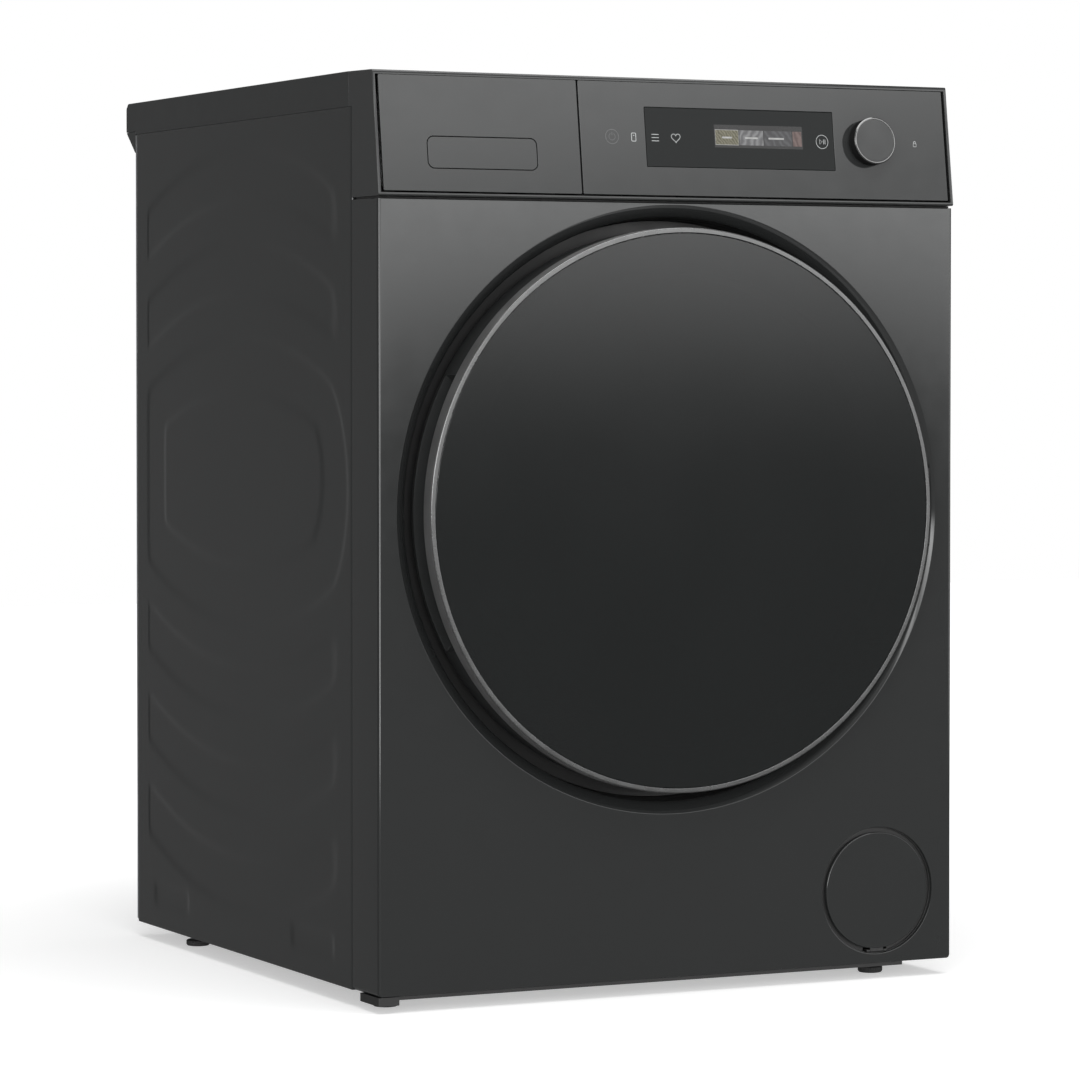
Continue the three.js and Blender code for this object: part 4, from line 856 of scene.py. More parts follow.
# %% Fascia frame
cos_rake, sin_rake = math.cos(RAKE), math.sin(RAKE)
frame_low, frame_high = box("fascia_frame")
FOOT_Y, FOOT_Z = frame_low.y, frame_low.z


def raked(x, s, deep):
    """A point of the leaning face: across, up the face, and behind it."""
    return Vector((x, FOOT_Y + deep * cos_rake + s * sin_rake, FOOT_Z + s * cos_rake - deep * sin_rake))


def up_face(z, deep=0.0):
    return (z - FOOT_Z + deep * sin_rake) / cos_rake


top_low = box("worktop")[0]
cheek_back = frame_high.y
crown = frame_high.z
top_y = FOOT_Y + math.tan(RAKE) * (crown - 1.1 - FOOT_Z)
shell = plate(fillet([
    (FOOT_Y, FOOT_Z, 1.6), (FACE + 57.8, FOOT_Z, 0.2), (FACE + 57.8, top_low.z, 0.2),
    (cheek_back, top_low.z, 0.2), (cheek_back, crown, 0.3), (top_y, crown - 1.1, 2.2),
], steps=4), (-HALF, HALF), across)
window = block((-HALF + 2.7, FOOT_Y - 20, FOOT_Z + 3.1), (HALF - 2.7, cheek_back + 1, crown - 5))
fascia_shell = carve(shell, window)
panel_cad = box("control_panel")
divider_x = panel_cad[0].x
post = plate([(FOOT_Y + 9, FOOT_Z + 2), (FACE + 57, FOOT_Z + 2), (FACE + 57, crown - 4),
              (FOOT_Y + 9 + 14, crown - 4)], (divider_x - 1.2, divider_x + 1.3), across)
fascia_shell = show("fascia_shell", merge(fascia_shell, post), fascia_plastic, "cabinet",
                    ["fascia_frame"], bevel=0.5)
report(fascia_shell)

# %% Control face, screen and drawer face
FACE_FROM, FACE_TO = up_face(panel_cad[0].z, 3.0), up_face(panel_cad[1].z)
screen_cad = box("display_glass")
SCREEN_S = (up_face(screen_cad[0].z, 2.7), up_face(screen_cad[1].z))
SCREEN_X = (screen_cad[0].x, screen_cad[1].x)
knob_cad = box("selector_knob")
KNOB_X = (knob_cad[0].x + knob_cad[1].x) / 2
KNOB_R = (knob_cad[1].x - knob_cad[0].x) / 2
KNOB_S = 59.0
drawer_cad = box("drawer_front")


def face_outline(x0, x1, s0=FACE_FROM, s1=FACE_TO, r=1.2):
    return fillet([(x0, s0), (x1, s0), (x1, s1), (x0, s1)], r, 4)


def leaned(outline, deep):
    return plate(outline, deep, raked)


control_face = leaned(face_outline(panel_cad[0].x, panel_cad[1].x), (0, 3))
hole = fillet([(SCREEN_X[0] - 0.4, SCREEN_S[0] - 0.4), (SCREEN_X[1] + 0.4, SCREEN_S[0] - 0.4),
               (SCREEN_X[1] + 0.4, SCREEN_S[1] + 0.4), (SCREEN_X[0] - 0.4, SCREEN_S[1] + 0.4)], 0.8, 3)
shaft = [(KNOB_X + 3.6 * math.cos(a), KNOB_S + 3.6 * math.sin(a))
         for a in (2 * math.pi * k / 24 for k in range(24))]
control_face = carve(control_face, leaned(hole, (-2, 5)), leaned(shaft, (-2, 5)))
control_face = show("control_face", control_face, fascia_plastic, "cabinet",
                    ["control_panel"], bevel=0.5)
screen = show("screen_pane", leaned(fillet([
    (SCREEN_X[0], SCREEN_S[0]), (SCREEN_X[1], SCREEN_S[0]), (SCREEN_X[1], SCREEN_S[1]),
    (SCREEN_X[0], SCREEN_S[1])], 0.6, 3), (0, 2.7)), screen_glass, "cabinet",
    ["display_glass"], bevel=0.3)

FLAP_X = (-HALF + 51, -HALF + 160)
FLAP_S = (26.0, 54.5)
drawer_face = leaned(face_outline(drawer_cad[0].x, drawer_cad[1].x), (0, 3))
cup = leaned(fillet([(FLAP_X[0] - 6, 20), (FLAP_X[1] + 6, 20), (FLAP_X[1] + 6, 60), (FLAP_X[0] - 6, 60)],
                    4, 4), (2.5, 30))
hollow = leaned(fillet([(FLAP_X[0] - 4, 22), (FLAP_X[1] + 4, 22), (FLAP_X[1] + 4, 58), (FLAP_X[0] - 4, 58)],
                       3, 4), (3, 28))
opening = leaned(fillet([(FLAP_X[0] - 0.7, FLAP_S[0] - 0.7), (FLAP_X[1] + 0.7, FLAP_S[0] - 0.7),
                         (FLAP_X[1] + 0.7, FLAP_S[1] + 0.7),
                         (FLAP_X[0] - 0.7, FLAP_S[1] + 0.7)], 6.7, 6), (-2, 4))
drawer_face = show("drawer_face", carve(merge(drawer_face, cup), hollow, opening), fascia_plastic,
                   "tank_drawer", ["drawer_front"], bevel=0.4)
flap_outline = fillet([(FLAP_X[0], FLAP_S[0]), (FLAP_X[1], FLAP_S[0]), (FLAP_X[1], FLAP_S[1]),
                       (FLAP_X[0], FLAP_S[1])], 6, 8)
flap = leaned(flap_outline, (0, 2))
pin_steps = [2 * math.pi * k / 16 for k in range(16)]
pin = loft([[raked(x, 52 + 1.3 * math.sin(a), 4.6 + 1.3 * math.cos(a)) for a in pin_steps]
            for x in (FLAP_X[0] - 3.7, FLAP_X[1] + 3.7)])
web = leaned([(FLAP_X[0] + 5, 51), (FLAP_X[1] - 5, 51), (FLAP_X[1] - 5, 53), (FLAP_X[0] + 5, 53)], (1.5, 4.6))
flap = show("flap_plate", merge(flap, pin, web), fascia_plastic, "flap",
            ["drawer_flap"], bevel=0.35)
report(control_face, screen, drawer_face, flap)

# %% [markdown]
# ## Knob
# A turned cap: fine flutes round the side for grip, a bright cut edge, and a darker
# face that is dished by a few tenths.

# %% Knob
def knob_turned(profile, steps=192, flute=None):
    """A profile of (radius, depth) turned about the knob's leaning axis."""
    return spun(profile, lambda a, b, deep: raked(KNOB_X + a, KNOB_S + b, deep), steps, flute)


PROUD = 12.5
knob_metal = finish("knob_metal", (0.035, 0.035, 0.035), 0.34, metal=0.9, grain=2200, press=0.004, wear_and_edge_highlight=0.3)
knob_face_metal = finish("knob_face_metal", (0.056, 0.057, 0.057), 0.36, metal=0.8, grain=1800, press=0.004,
                         wear_and_edge_highlight=0.1)
knob_bright = finish("knob_bright", (0.16, 0.16, 0.16), 0.24, metal=1.0, grain=2400, press=0.003, wear_and_edge_highlight=0.2)
side_ring = [(0, -PROUD + 2), (KNOB_R - 1.2, -PROUD + 2), (KNOB_R - 0.2, -PROUD + 2.1), (KNOB_R, -PROUD + 3),
             (KNOB_R, -2.6), (KNOB_R - 0.3, -1.4), (KNOB_R - 1.4, -0.6), (3, -0.6), (3, 11), (0, 11)]
knob_side = show("knob_side", knob_turned(side_ring, 432, flutes(108, 0.35, (2, 3, 4))), knob_metal,
                 "knob", ["selector_knob"], sharp=60)
knob_edge = show("knob_edge", knob_turned(fillet([
    (KNOB_R - 1.9, -PROUD, 0.15), (KNOB_R - 0.9, -PROUD, 0.3), (KNOB_R - 0.05, -PROUD + 0.9, 0.3),
    (KNOB_R - 0.05, -PROUD + 2, 0.2), (KNOB_R - 1.9, -PROUD + 2, 0.1)], steps=3)), knob_bright,
    "knob")
knob_face = show("knob_face", knob_turned([
    (0, -PROUD + 0.55), (KNOB_R - 4, -PROUD + 0.5), (KNOB_R - 2.1, -PROUD + 0.3),
    (KNOB_R - 2.0, -PROUD + 0.5), (KNOB_R - 2.0, -PROUD + 2), (0, -PROUD + 2)]), knob_face_metal,
    "knob")
report(knob_side, knob_edge, knob_face)

# %% [markdown]
# ## Worktop
# A slab with a rounded rim that overhangs the back; a sloping strip closes the gap under
# the overhang.

# %% Worktop
top_low, top_high = box("worktop")
body_end = box("rear_panel")[1].y
slab = plate(fillet([
    (top_low.y, top_low.z, 0.3), (body_end, top_low.z, 0.5), (body_end, top_low.z + 3, 0.3),
    (top_high.y, top_low.z + 3, 0.8), (top_high.y, top_high.z - 5, 2.5), (top_high.y - 5, top_high.z, 3.5),
    (top_low.y, top_high.z, 0.3)], steps=4), (-HALF, HALF), across)
underside = block((-HALF + 6, top_low.y - 1, top_low.z - 1), (HALF - 6, body_end - 6, top_high.z - 6))
worktop = show("worktop_slab", carve(slab, underside), worktop_plastic, "cabinet",
               ["worktop"], bevel=0.8)
strip_low, strip_high = box("worktop_rear_strip")
strip = show("worktop_strip", plate(fillet([
    (strip_low.y, strip_low.z, 0.6), (strip_high.y, strip_high.z, 0.8), (strip_low.y, strip_high.z, 0.2)],
    steps=3), (-HALF, HALF), across), worktop_plastic, "cabinet",
    ["worktop_rear_strip"], bevel=0.3)
report(worktop, strip)

# %% [markdown]
# ## Service hatch
# A round cover, flush with the panel, hides the filter behind the heat exchanger.

# %% Hatch cover, cup and cap
cover_y = HATCH[0].y
cup_high = box("hatch_housing")[1]
cover = turned(fillet([(0, cover_y), (HATCH_R, cover_y, 1.0), (HATCH_R, cover_y + 4, 0.4), (0, cover_y + 4)],
                      steps=4), HATCH_X, HATCH_Z, 192)
HINGE_Z = HATCH_Z - 57.5
HINGE_Y = FACE + 1.8


def rod(x0, x1, y, z, r, steps=20):
    angles = [2 * math.pi * k / steps for k in range(steps)]
    return loft([[Vector((x, y + r * math.cos(a), z + r * math.sin(a))) for a in angles] for x in (x0, x1)])


inside_rib = turned(fillet([(40, cover_y + 3.9), (44, cover_y + 3.9), (44, cover_y + 6),
                            (40, cover_y + 6)], 0.4, 2), HATCH_X, HATCH_Z, 96)
cover = merge(cover, inside_rib)
hatch_cover = show("hatch_disc", cover, graphite_paint, "hatch", ["hatch_cover"])
cup_wall = HATCH_HOLE - 1.0
housing = turned(fillet([
    (cup_wall, FACE + 3.2, 0.3), (cup_wall + 2.8, FACE + 3.2, 0.3), (cup_wall + 2.8, cup_high.y, 1),
    (6, cup_high.y, 0.3), (6, cup_high.y - 2.7, 0.3), (38, cup_high.y - 2.7, 1), (40, cup_high.y - 5, 1),
    (cup_wall - 6, cup_high.y - 5, 2), (cup_wall, cup_high.y - 12, 3)], steps=3), HATCH_X, HATCH_Z, 128)
ears = []
for side in (-1, 1):
    x0, x1 = sorted((HATCH_X + side * 7.4, HATCH_X + side * 11))
    ears += [block((x0, HINGE_Y, HINGE_Z - 1.4), (x1, FACE + 8, HINGE_Z + 1.4), 0.3, 2),
             rod(x0, x1, HINGE_Y, HINGE_Z, 1.4),
             block((x0, FACE + 3, HINGE_Z - 4.4), (x1, FACE + 8, HINGE_Z), 0.3, 2)]
step = turned(fillet([(HATCH_R - 2.5, cover_y + 4.6), (HATCH_HOLE + 1.5, cover_y + 4.6),
                      (HATCH_HOLE + 1.5, cover_y + 6), (HATCH_R - 2.5, cover_y + 6)], 0.4, 2),
              HATCH_X, HATCH_Z, 128)
step = carve(step, block((HATCH_X - 13, FACE - 5, HATCH_Z - HATCH_HOLE - 4),
                         (HATCH_X + 13, FACE + 12, HATCH_Z - HATCH_R + 9)))
ears.append(step)
ears.append(rod(HATCH_X - 10, HATCH_X + 10, HINGE_Y, HINGE_Z, 0.7))
hatch_cup = show("hatch_cup", merge(housing, *ears), black_plastic, "cabinet",
                 ["hatch_housing"])
cap_low, cap_high = box("filter_cap")
head_y = FACE + 30
cap = turned([(0, head_y), (33, head_y), (35, head_y + 0.6), (36, head_y + 2), (36, head_y + 7),
              (35.4, head_y + 7.7), (5.4, head_y + 7.7), (5.4, cap_high.y), (0, cap_high.y)],
             HATCH_X, HATCH_Z, 192, flutes(24, 0.9, (2, 3, 4)))
grip = block((HATCH_X - 29, cap_low.y, HATCH_Z - 4.5), (HATCH_X + 29, head_y + 1, HATCH_Z + 4.5), 2.2, 4)
filter_cap = show("filter_cap_head", merge(cap, grip), grey_plastic, "cap", ["filter_cap"])
report(hatch_cover, hatch_cup, filter_cap)

# %% [markdown]
# ## Feet
# Each foot is a rubber pad moulded on a steel stud with a hexagon for the spanner.

# %% Feet
for spot, body in (("front_left", "foot_fl"), ("front_right", "foot_fr"),
                   ("rear_left", "foot_rl"), ("rear_right", "foot_rr")):
    low, high = box("foot_" + spot)
    x, y = (low.x + high.x) / 2, (low.y + high.y) / 2
    r = (high.x - low.x) / 2
    pad = upright([(0, 0), (r - 2.4, 0), (r - 1.0, 0.3), (r, 1.6), (r, 5.2), (r - 1, 6.0), (8, 6.6),
                   (7.6, 7.2), (0, 7.2)], x, y, 120, flutes(30, 0.5, (3, 4)))

    def hexagon(i, angle, radius, z):
        if i not in (1, 2):
            return 0.0
        part = (angle % (math.pi / 3)) - math.pi / 6
        return 6.6 / math.cos(part) - radius

    stud = upright([(0, 7.2), (6.6, 7.2), (6.6, 11.2), (4, 11.3), (4, high.z), (0, high.z)],
                   x, y, 96, hexagon)
    foot = show("foot_pad_" + spot, pad, soft_rubber, body, ["foot_" + spot])
    stud = show("foot_stud_" + spot, stud, zinc_sheet, body, sharp=25)
    report(foot, stud)

# %% [markdown]
# ## Marks on the screen
# The real touch marks are printed. Here they are thin flat shapes that lie less than a tenth
# of a millimetre proud of the face, so they stay crisp at any distance. The programme cards
# are small lit pictures, woven from waves and noise, with plain bars where words would be.

# %% Printed marks
white_print = finish("white_print", (0.33, 0.34, 0.34), 0.5, grain=900, press=0.002, wear_and_edge_highlight=0, drift=0.03)
dim_print = finish("dim_print", (0.085, 0.087, 0.087), 0.5, grain=900, press=0.002, wear_and_edge_highlight=0, drift=0.03)


def stroke(points, width, deep, closed=False, thick=0.06):
    """A flat ribbon of even width along a line drawn on the leaning face."""
    path = [Vector(p) for p in points]
    count = len(path)
    left, right = [], []
    for i, here in enumerate(path):
        before = path[i - 1] if (closed or i > 0) else here
        after = path[(i + 1) % count] if (closed or i < count - 1) else here
        along = (after - before).normalized()
        side = Vector((-along.y, along.x)) * width / 2
        left.append(here + side)
        right.append(here - side)
    rings = [[raked(l.x, l.y, deep), raked(r.x, r.y, deep), raked(r.x, r.y, deep + thick),
              raked(l.x, l.y, deep + thick)] for l, r in zip(left, right)]
    return loft(rings, caps=not closed, loop=closed)


def arc(x, s, r, start, end, steps=28):
    return [(x + r * math.cos(math.radians(start + (end - start) * k / steps)),
             s + r * math.sin(math.radians(start + (end - start) * k / steps))) for k in range(steps + 1)]


def patch(x0, x1, s0, s1, deep, r=0.0, thick=0.06):
    return leaned(fillet([(x0, s0), (x1, s0), (x1, s1), (x0, s1)], r, 3), (deep, deep + thick))


MARK_S = 58.7
ON_FACE = -0.08
power = merge(stroke(arc(-62, MARK_S, 6.7, 0, 360, 48)[:-1], 0.55, ON_FACE, True),
              stroke(arc(-62, MARK_S, 3.2, 120, 420, 32), 0.5, ON_FACE),
              stroke([(-62, MARK_S + 1.2), (-62, MARK_S + 4)], 0.5, ON_FACE))
remote = merge(stroke(fillet([(-41.8, MARK_S - 3.8), (-37.4, MARK_S - 3.8), (-37.4, MARK_S + 3.8),
                              (-41.8, MARK_S + 3.8)], 0.9, 3), 0.6, ON_FACE, True),
               stroke([(-40.4, MARK_S + 1.6), (-38.8, MARK_S + 1.6)], 0.5, ON_FACE))
lines = merge(*[stroke([(-21, MARK_S + d), (-13.4, MARK_S + d)], 0.6, ON_FACE) for d in (-3, 0, 3)])
HEART = 0.29


def heart_point(t):
    lobes = 13 * math.cos(t) - 5 * math.cos(2 * t) - 2 * math.cos(3 * t) - math.cos(4 * t)
    return 4.3 + HEART * 16 * math.sin(t) ** 3, MARK_S + 0.4 + HEART * lobes


heart_line = [heart_point(2 * math.pi * k / 40) for k in range(40)]
heart = stroke(heart_line, 0.55, ON_FACE, True)
play = merge(stroke(arc(160, MARK_S, 6.4, 0, 360, 48)[:-1], 0.45, ON_FACE, True),
             stroke([(157.4, MARK_S - 2.2), (160.4, MARK_S), (157.4, MARK_S + 2.2)], 0.45, ON_FACE, True),
             patch(161.5, 162.0, MARK_S - 2.3, MARK_S + 2.3, ON_FACE),
             patch(163.0, 163.5, MARK_S - 2.3, MARK_S + 2.3, ON_FACE))
padlock = merge(stroke([(259.8, MARK_S - 2.4), (263.0, MARK_S - 2.4), (263.0, MARK_S + 0.5),
                        (259.8, MARK_S + 0.5)], 0.5, ON_FACE, True),
                stroke([(260.3, MARK_S + 0.5), *arc(261.4, MARK_S + 1.6, 1.1, 180, 0, 12),
                        (262.5, MARK_S + 0.5)], 0.5, ON_FACE))
for name, shape, ink in (("mark_power", power, dim_print), ("mark_remote", remote, white_print),
                         ("mark_menu", lines, white_print), ("mark_heart", heart, white_print),
                         ("mark_start", play, white_print), ("mark_lock", padlock, white_print)):
    report(show(name, shape, ink, "cabinet", weighted=False))

# %% Programme cards
def card_glow(name, dark, light, tilt, wave, strength):
    """A lit card: slanted folds of cloth from a distorted wave."""
    made = bpy.data.materials.new(name)
    made.use_nodes = True
    tree = made.node_tree
    shader = tree.nodes["Principled BSDF"]
    shader.inputs["Roughness"].default_value = 0.3
    shader.inputs["Emission Strength"].default_value = strength
    where = add(tree, "ShaderNodeTexCoord").outputs["Object"]
    turn = add(tree, "ShaderNodeMapping")
    turn.inputs["Rotation"].default_value = (0, math.radians(tilt), 0)
    link(tree, where, turn.inputs["Vector"])
    folds = add(tree, "ShaderNodeTexWave", Scale=wave, Distortion=5.0, Detail=2.0)
    folds.inputs["Detail Scale"].default_value = 2.0
    link(tree, turn.outputs[0], folds.inputs["Vector"])
    tint = add(tree, "ShaderNodeMix", data_type="RGBA")
    tint.inputs["A"].default_value = rgba(dark)
    tint.inputs["B"].default_value = rgba(light)
    link(tree, folds.outputs["Fac"], tint.inputs["Factor"])
    shader.inputs["Base Color"].default_value = (0.01, 0.01, 0.01, 1)
    link(tree, tint.outputs["Result"], shader.inputs["Emission Color"])
    weave = add(tree, "ShaderNodeTexNoise", Scale=1800.0)
    link(tree, where, weave.inputs["Vector"])
    bump = add(tree, "ShaderNodeBump", Distance=0.00001)
    link(tree, weave.outputs[0], bump.inputs["Height"])
    link(tree, bump.outputs[0], shader.inputs["Normal"])
    return made


CARD_S = (53.6, 67.7)
sleeping = finish("lcd_dark", (0.02, 0.02, 0.02), 0.3, grain=900, press=0.001, wear_and_edge_highlight=0, specular=0.3)
CARDS = [("card_gold", 46.0, 70.5, (0.09, 0.08, 0.025), (0.30, 0.28, 0.17), 35, 120.0, 0.55),
         ("card_silver", 71.5, 97.0, (0.13, 0.13, 0.135), (0.33, 0.33, 0.34), -30, 50.0, 0.55),
         ("card_grey", 98.0, 127.5, (0.02, 0.02, 0.025), (0.09, 0.09, 0.1), 40, 55.0, 0.5),
         ("card_brown", 128.5, 138.0, (0.12, 0.05, 0.04), (0.25, 0.15, 0.13), 20, 50.0, 0.5)]
report(show("lcd_back", patch(45, 139, 51.0, 72.5, ON_FACE + 0.03, 0.3, 0.03), sleeping,
            "cabinet", weighted=False))
label_ink = card_glow("label_light", (0.5, 0.5, 0.49), (0.6, 0.6, 0.59), 0, 30.0, 0.7)
for name, x0, x1, dark, light, tilt, wave, strength in CARDS:
    glow = card_glow(name + "_light", dark, light, tilt, wave, strength)
    report(show(name, patch(x0, x1, *CARD_S, ON_FACE, 0.4), glow, "cabinet", weighted=False))
labels = []
for x0, x1 in ((53.0, 63.5), (77.5, 91.0), (102.5, 119.0)):
    labels.append(patch(x0, x1, 59.7, 61.3, ON_FACE - 0.04, 0.5, 0.04))
border = stroke([(46.0, CARD_S[0]), (70.5, CARD_S[0]), (70.5, CARD_S[1]), (46.0, CARD_S[1])], 0.45,
                ON_FACE - 0.04, True, 0.04)
report(show("card_labels", merge(*labels), label_ink, "cabinet", weighted=False),
       show("card_border", border, label_ink, "cabinet", weighted=False))

# %% [markdown]
# ## Small exterior parts
# A black strip fills the slot between the front panel and the fascia, as painted shade for the dark slot.
# Screws hold the back. A screw is a turned head with a six-lobed socket.

# %% Shade strip in the slot, and screws
# A black strip in the slot stands in for the slot's shade: painted shade.
slot_shade_strip = show("fascia_slot_shade", block((-HALF + 1.2, FACE + 5, panel_high.z + 0.2),
                                       (HALF - 1.2, FACE + 50, FOOT_Z - 0.2), 0.3, 2),
                  soft_rubber, "cabinet")
hatch_knuckle = show("hatch_knuckle", merge(
    rod(HATCH_X - 7, HATCH_X + 7, HINGE_Y, HINGE_Z, 1.4),
    block((HATCH_X - 7, HINGE_Y - 1, HINGE_Z), (HATCH_X + 7, HINGE_Y + 1, HATCH_Z - HATCH_R + 1.5))),
    black_plastic, "hatch")


def screw_head(x, z, y, r=3.6):
    """A low domed head that faces the back, with a six-lobed socket."""
    def lobes(i, angle, radius, depth):
        return 0.28 * math.cos(6 * angle) if i in (6, 7) else 0.0
    profile = [(0, y), (r, y), (r, y + 0.5), (r - 0.5, y + 1.3), (r - 1.3, y + 1.75), (1.75, y + 1.9),
               (1.45, y + 1.9), (1.4, y + 0.8), (0, y + 0.8)]
    return turned(profile, x, z, 48, lobes)


report(slot_shade_strip, hatch_knuckle)

# %% [markdown]
# ## Back
# Galvanised sheet, with shallow pressed ribs, rows of louvres that let the room's air in,
# and the round duct cover with its ring of screws.

# %% Rear panel
rear_low, rear_high = box("rear_panel")
rear_y = rear_high.y


def louvre(x0, x1, z, rise=5.0, out=3.2):
    """A slot pressed outwards: a hood that is open below."""
    hood = [[Vector((x, rear_y - 0.6, z + rise)), Vector((x, rear_y + out * 0.75, z + rise * 0.45)),
             Vector((x, rear_y + out, z)), Vector((x, rear_y + out - 0.7, z)),
             Vector((x, rear_y + out * 0.45, z + rise * 0.35)), Vector((x, rear_y - 0.6, z + rise * 0.7))]
            for x in (x0 + 2, x1 - 2)]
    ends = [[Vector((x, rear_y - 0.6, z + rise)), Vector((x, rear_y - 0.6, z + rise * 0.9)),
             Vector((x, rear_y - 0.6, z)), Vector((x, rear_y - 0.7, z)),
             Vector((x, rear_y - 0.7, z + rise * 0.35)), Vector((x, rear_y - 0.7, z + rise * 0.7))]
            for x in (x0, x1)]
    return loft([ends[0], hood[0], hood[1], ends[1]])


duct_low, duct_high = box("rear_duct_cover")
DUCT_R = duct_high.x
sheet = plate(fillet([(rear_low.x, rear_low.z), (rear_high.x, rear_low.z), (rear_high.x, rear_high.z),
                      (rear_low.x, rear_high.z)], 1.5, 3), (rear_low.y, rear_y), backwards)
air_r = DUCT_R - 27
gland_low, gland_high = box("mains_gland")
gland_x, gland_z = (gland_low.x + gland_high.x) / 2, (gland_low.z + gland_high.z) / 2
air = turned([(0, rear_low.y - 2), (air_r, rear_low.y - 2), (air_r, rear_y + 2), (0, rear_y + 2)], steps=128)
inlet = turned([(0, rear_low.y - 2), (7, rear_low.y - 2), (7, rear_y + 2), (0, rear_y + 2)],
               gland_x, gland_z, 32)
parts = [carve(sheet, air, inlet)]
for row in range(7):
    for x0 in (-262, -206, -150):
        parts.append(louvre(x0, x0 + 46, 52 + 14 * row))
for x0, x1, z0, z1 in ((-270, 270, 757, 765), (-60, 150, 60, 68), (-60, 150, 90, 98), (-60, 150, 120, 128)):
    rib = plate(fillet([(x0, z0), (x1, z0), (x1, z1), (x0, z1)], 3.9, 6), (rear_y - 0.5, rear_y + 1.4),
                backwards, 1.2, 3)
    parts.append(rib)
for z in (45, 180, 330, 480, 630, 775):
    for x in (-288, 288):
        parts.append(screw_head(x, z, rear_y - 0.1))
rear_skin = show("rear_skin", merge(*parts), zinc_sheet, "cabinet", ["rear_panel"])
report(rear_skin)

# %% Duct cover and gland
d0 = duct_low.y
dish = turned(fillet([
    (0, d0 + 13.2, 0), (60, d0 + 13.2, 2), (64, d0 + 15.9, 2), (74, d0 + 15.9, 2), (78, d0 + 13.2, 2),
    (150, d0 + 13.2, 2), (154, d0 + 15.9, 2), (164, d0 + 15.9, 2), (168, d0 + 13.2, 2),
    (DUCT_R - 29, d0 + 13.2, 5), (DUCT_R - 17, d0 + 1.2, 4), (DUCT_R, d0 + 1.2, 0.5), (DUCT_R, d0, 0.3),
    (DUCT_R - 18, d0, 2), (DUCT_R - 30, d0 + 12, 4), (169, d0 + 12, 1), (165, d0 + 14.6, 1),
    (153, d0 + 14.6, 1), (149, d0 + 12, 1), (79, d0 + 12, 1), (75, d0 + 14.6, 1), (63, d0 + 14.6, 1),
    (59, d0 + 12, 1), (0, d0 + 12, 0),
], steps=3), steps=160)
heads = [screw_head((DUCT_R - 8) * math.cos(a), DOOR_Z + (DUCT_R - 8) * math.sin(a), d0 + 1.1)
         for a in (2 * math.pi * (k + 0.5) / 12 for k in range(12))]
duct = show("duct_cover", merge(dish, *heads), zinc_sheet, "cabinet", ["rear_duct_cover"])
g0 = gland_low.y
gland = show("cord_gland", turned([
    (5, g0), (14, g0), (14, g0 + 3.2), (13.2, g0 + 4), (12.2, g0 + 5), (10.6, g0 + 12), (8, gland_high.y),
    (5.6, gland_high.y), (5, gland_high.y - 0.8)], gland_x, gland_z, 96, flutes(16, 0.7, (4, 5))),
    black_plastic, "cabinet", ["mains_gland"])
report(duct, gland)

# %% [markdown]
# ## Drum
# Stainless steel, seen through the door's bowl. The wall is pressed with rows of shallow
# dimples that keep wet laundry from clinging; the back is pierced for the warm air; and
# three moulded ribs lift the load.

# %% Drum wall and back
drum_low, drum_high = box("drum")
DRUM_R = drum_high.x
DRUM_BACK = box("rear_bulkhead")[0].y - 10.9
front_y = FACE + 125
neck_y = drum_low.y
NECK_R = THROAT_R + 18
DIMPLE = 1.3
DRUM_SKIN = 0.9
DIMPLES_ROUND = 48


def drum_radius(angle, i):
    """The drum's outer radius at row i: four rows to a dimple, and each course staggered."""
    phase = DIMPLES_ROUND * angle + (math.pi if (i // 4) % 2 else 0)
    dimple = max(0.0, math.cos(phase)) * math.sin(math.pi * (i % 4) / 4) ** 2
    return DRUM_R - 0.6 - DIMPLE * dimple


def drum_wall():
    rings = []
    steps, rows = 288, 64
    for k in range(steps):
        angle = 2 * math.pi * k / steps
        ring = [(NECK_R, neck_y), (NECK_R, front_y - 3), (NECK_R + 3, front_y)]
        ring += [(DRUM_R - 4, front_y), (DRUM_R - 0.6, front_y + 3)]
        depth = DRUM_BACK - front_y - 8
        ring += [(drum_radius(angle, i), front_y + 4 + depth * i / rows) for i in range(rows + 1)]
        ring += [(DRUM_R - 1.5, DRUM_BACK - 1.2), (DRUM_R - 3, DRUM_BACK - 1.2),
                 (DRUM_R - 3, DRUM_BACK - 2.2)]
        ring += [(drum_radius(angle, i) - DRUM_SKIN, front_y + 4 + depth * i / rows)
                 for i in range(rows, -1, -1)]
        ring += [(DRUM_R - 5, front_y + 1.2), (NECK_R + 2, front_y + 1.2), (NECK_R - 1.2, front_y - 2),
                 (NECK_R - 1.2, neck_y)]
        rings.append([Vector((r * math.cos(angle), y, DOOR_Z + r * math.sin(angle))) for r, y in ring])
    return loft(rings, loop=True)


def drum_back():
    """A disc pierced by twelve fans of small round holes."""
    bm = bmesh.new()
    y0, y1 = DRUM_BACK - 1.4, DRUM_BACK - 0.2
    centres = []
    for fan in range(12):
        turn = 2 * math.pi * (fan + 0.5) / 12
        for row, (reach, count) in enumerate(((112, 2), (128, 3), (144, 3), (160, 4), (176, 4), (192, 5))):
            for k in range(count):
                angle = turn + (k - (count - 1) / 2) * 13.0 / reach
                centres.append((reach * math.cos(angle), DOOR_Z + reach * math.sin(angle)))
    loops = []
    for y in (y0, y1):
        rows = [[bm.verts.new(p) for p in circle(DRUM_R - 3.2, 0, DOOR_Z, y, 96)]]
        for x, z in centres:
            rows.append([bm.verts.new(p) for p in circle(3.0, x, z, y, 10)])
        edges = [bm.edges.new((r[i], r[(i + 1) % len(r)])) for r in rows for i in range(len(r))]
        bmesh.ops.triangle_fill(bm, edges=edges, use_beauty=True, normal=(0, -1, 0))
        loops.append(rows)
    for one, two in zip(*loops):
        for i in range(len(one)):
            j = (i + 1) % len(one)
            bm.faces.new((one[i], one[j], two[j], two[i]))
    print("drum back:", len(centres), "holes")
    return bm


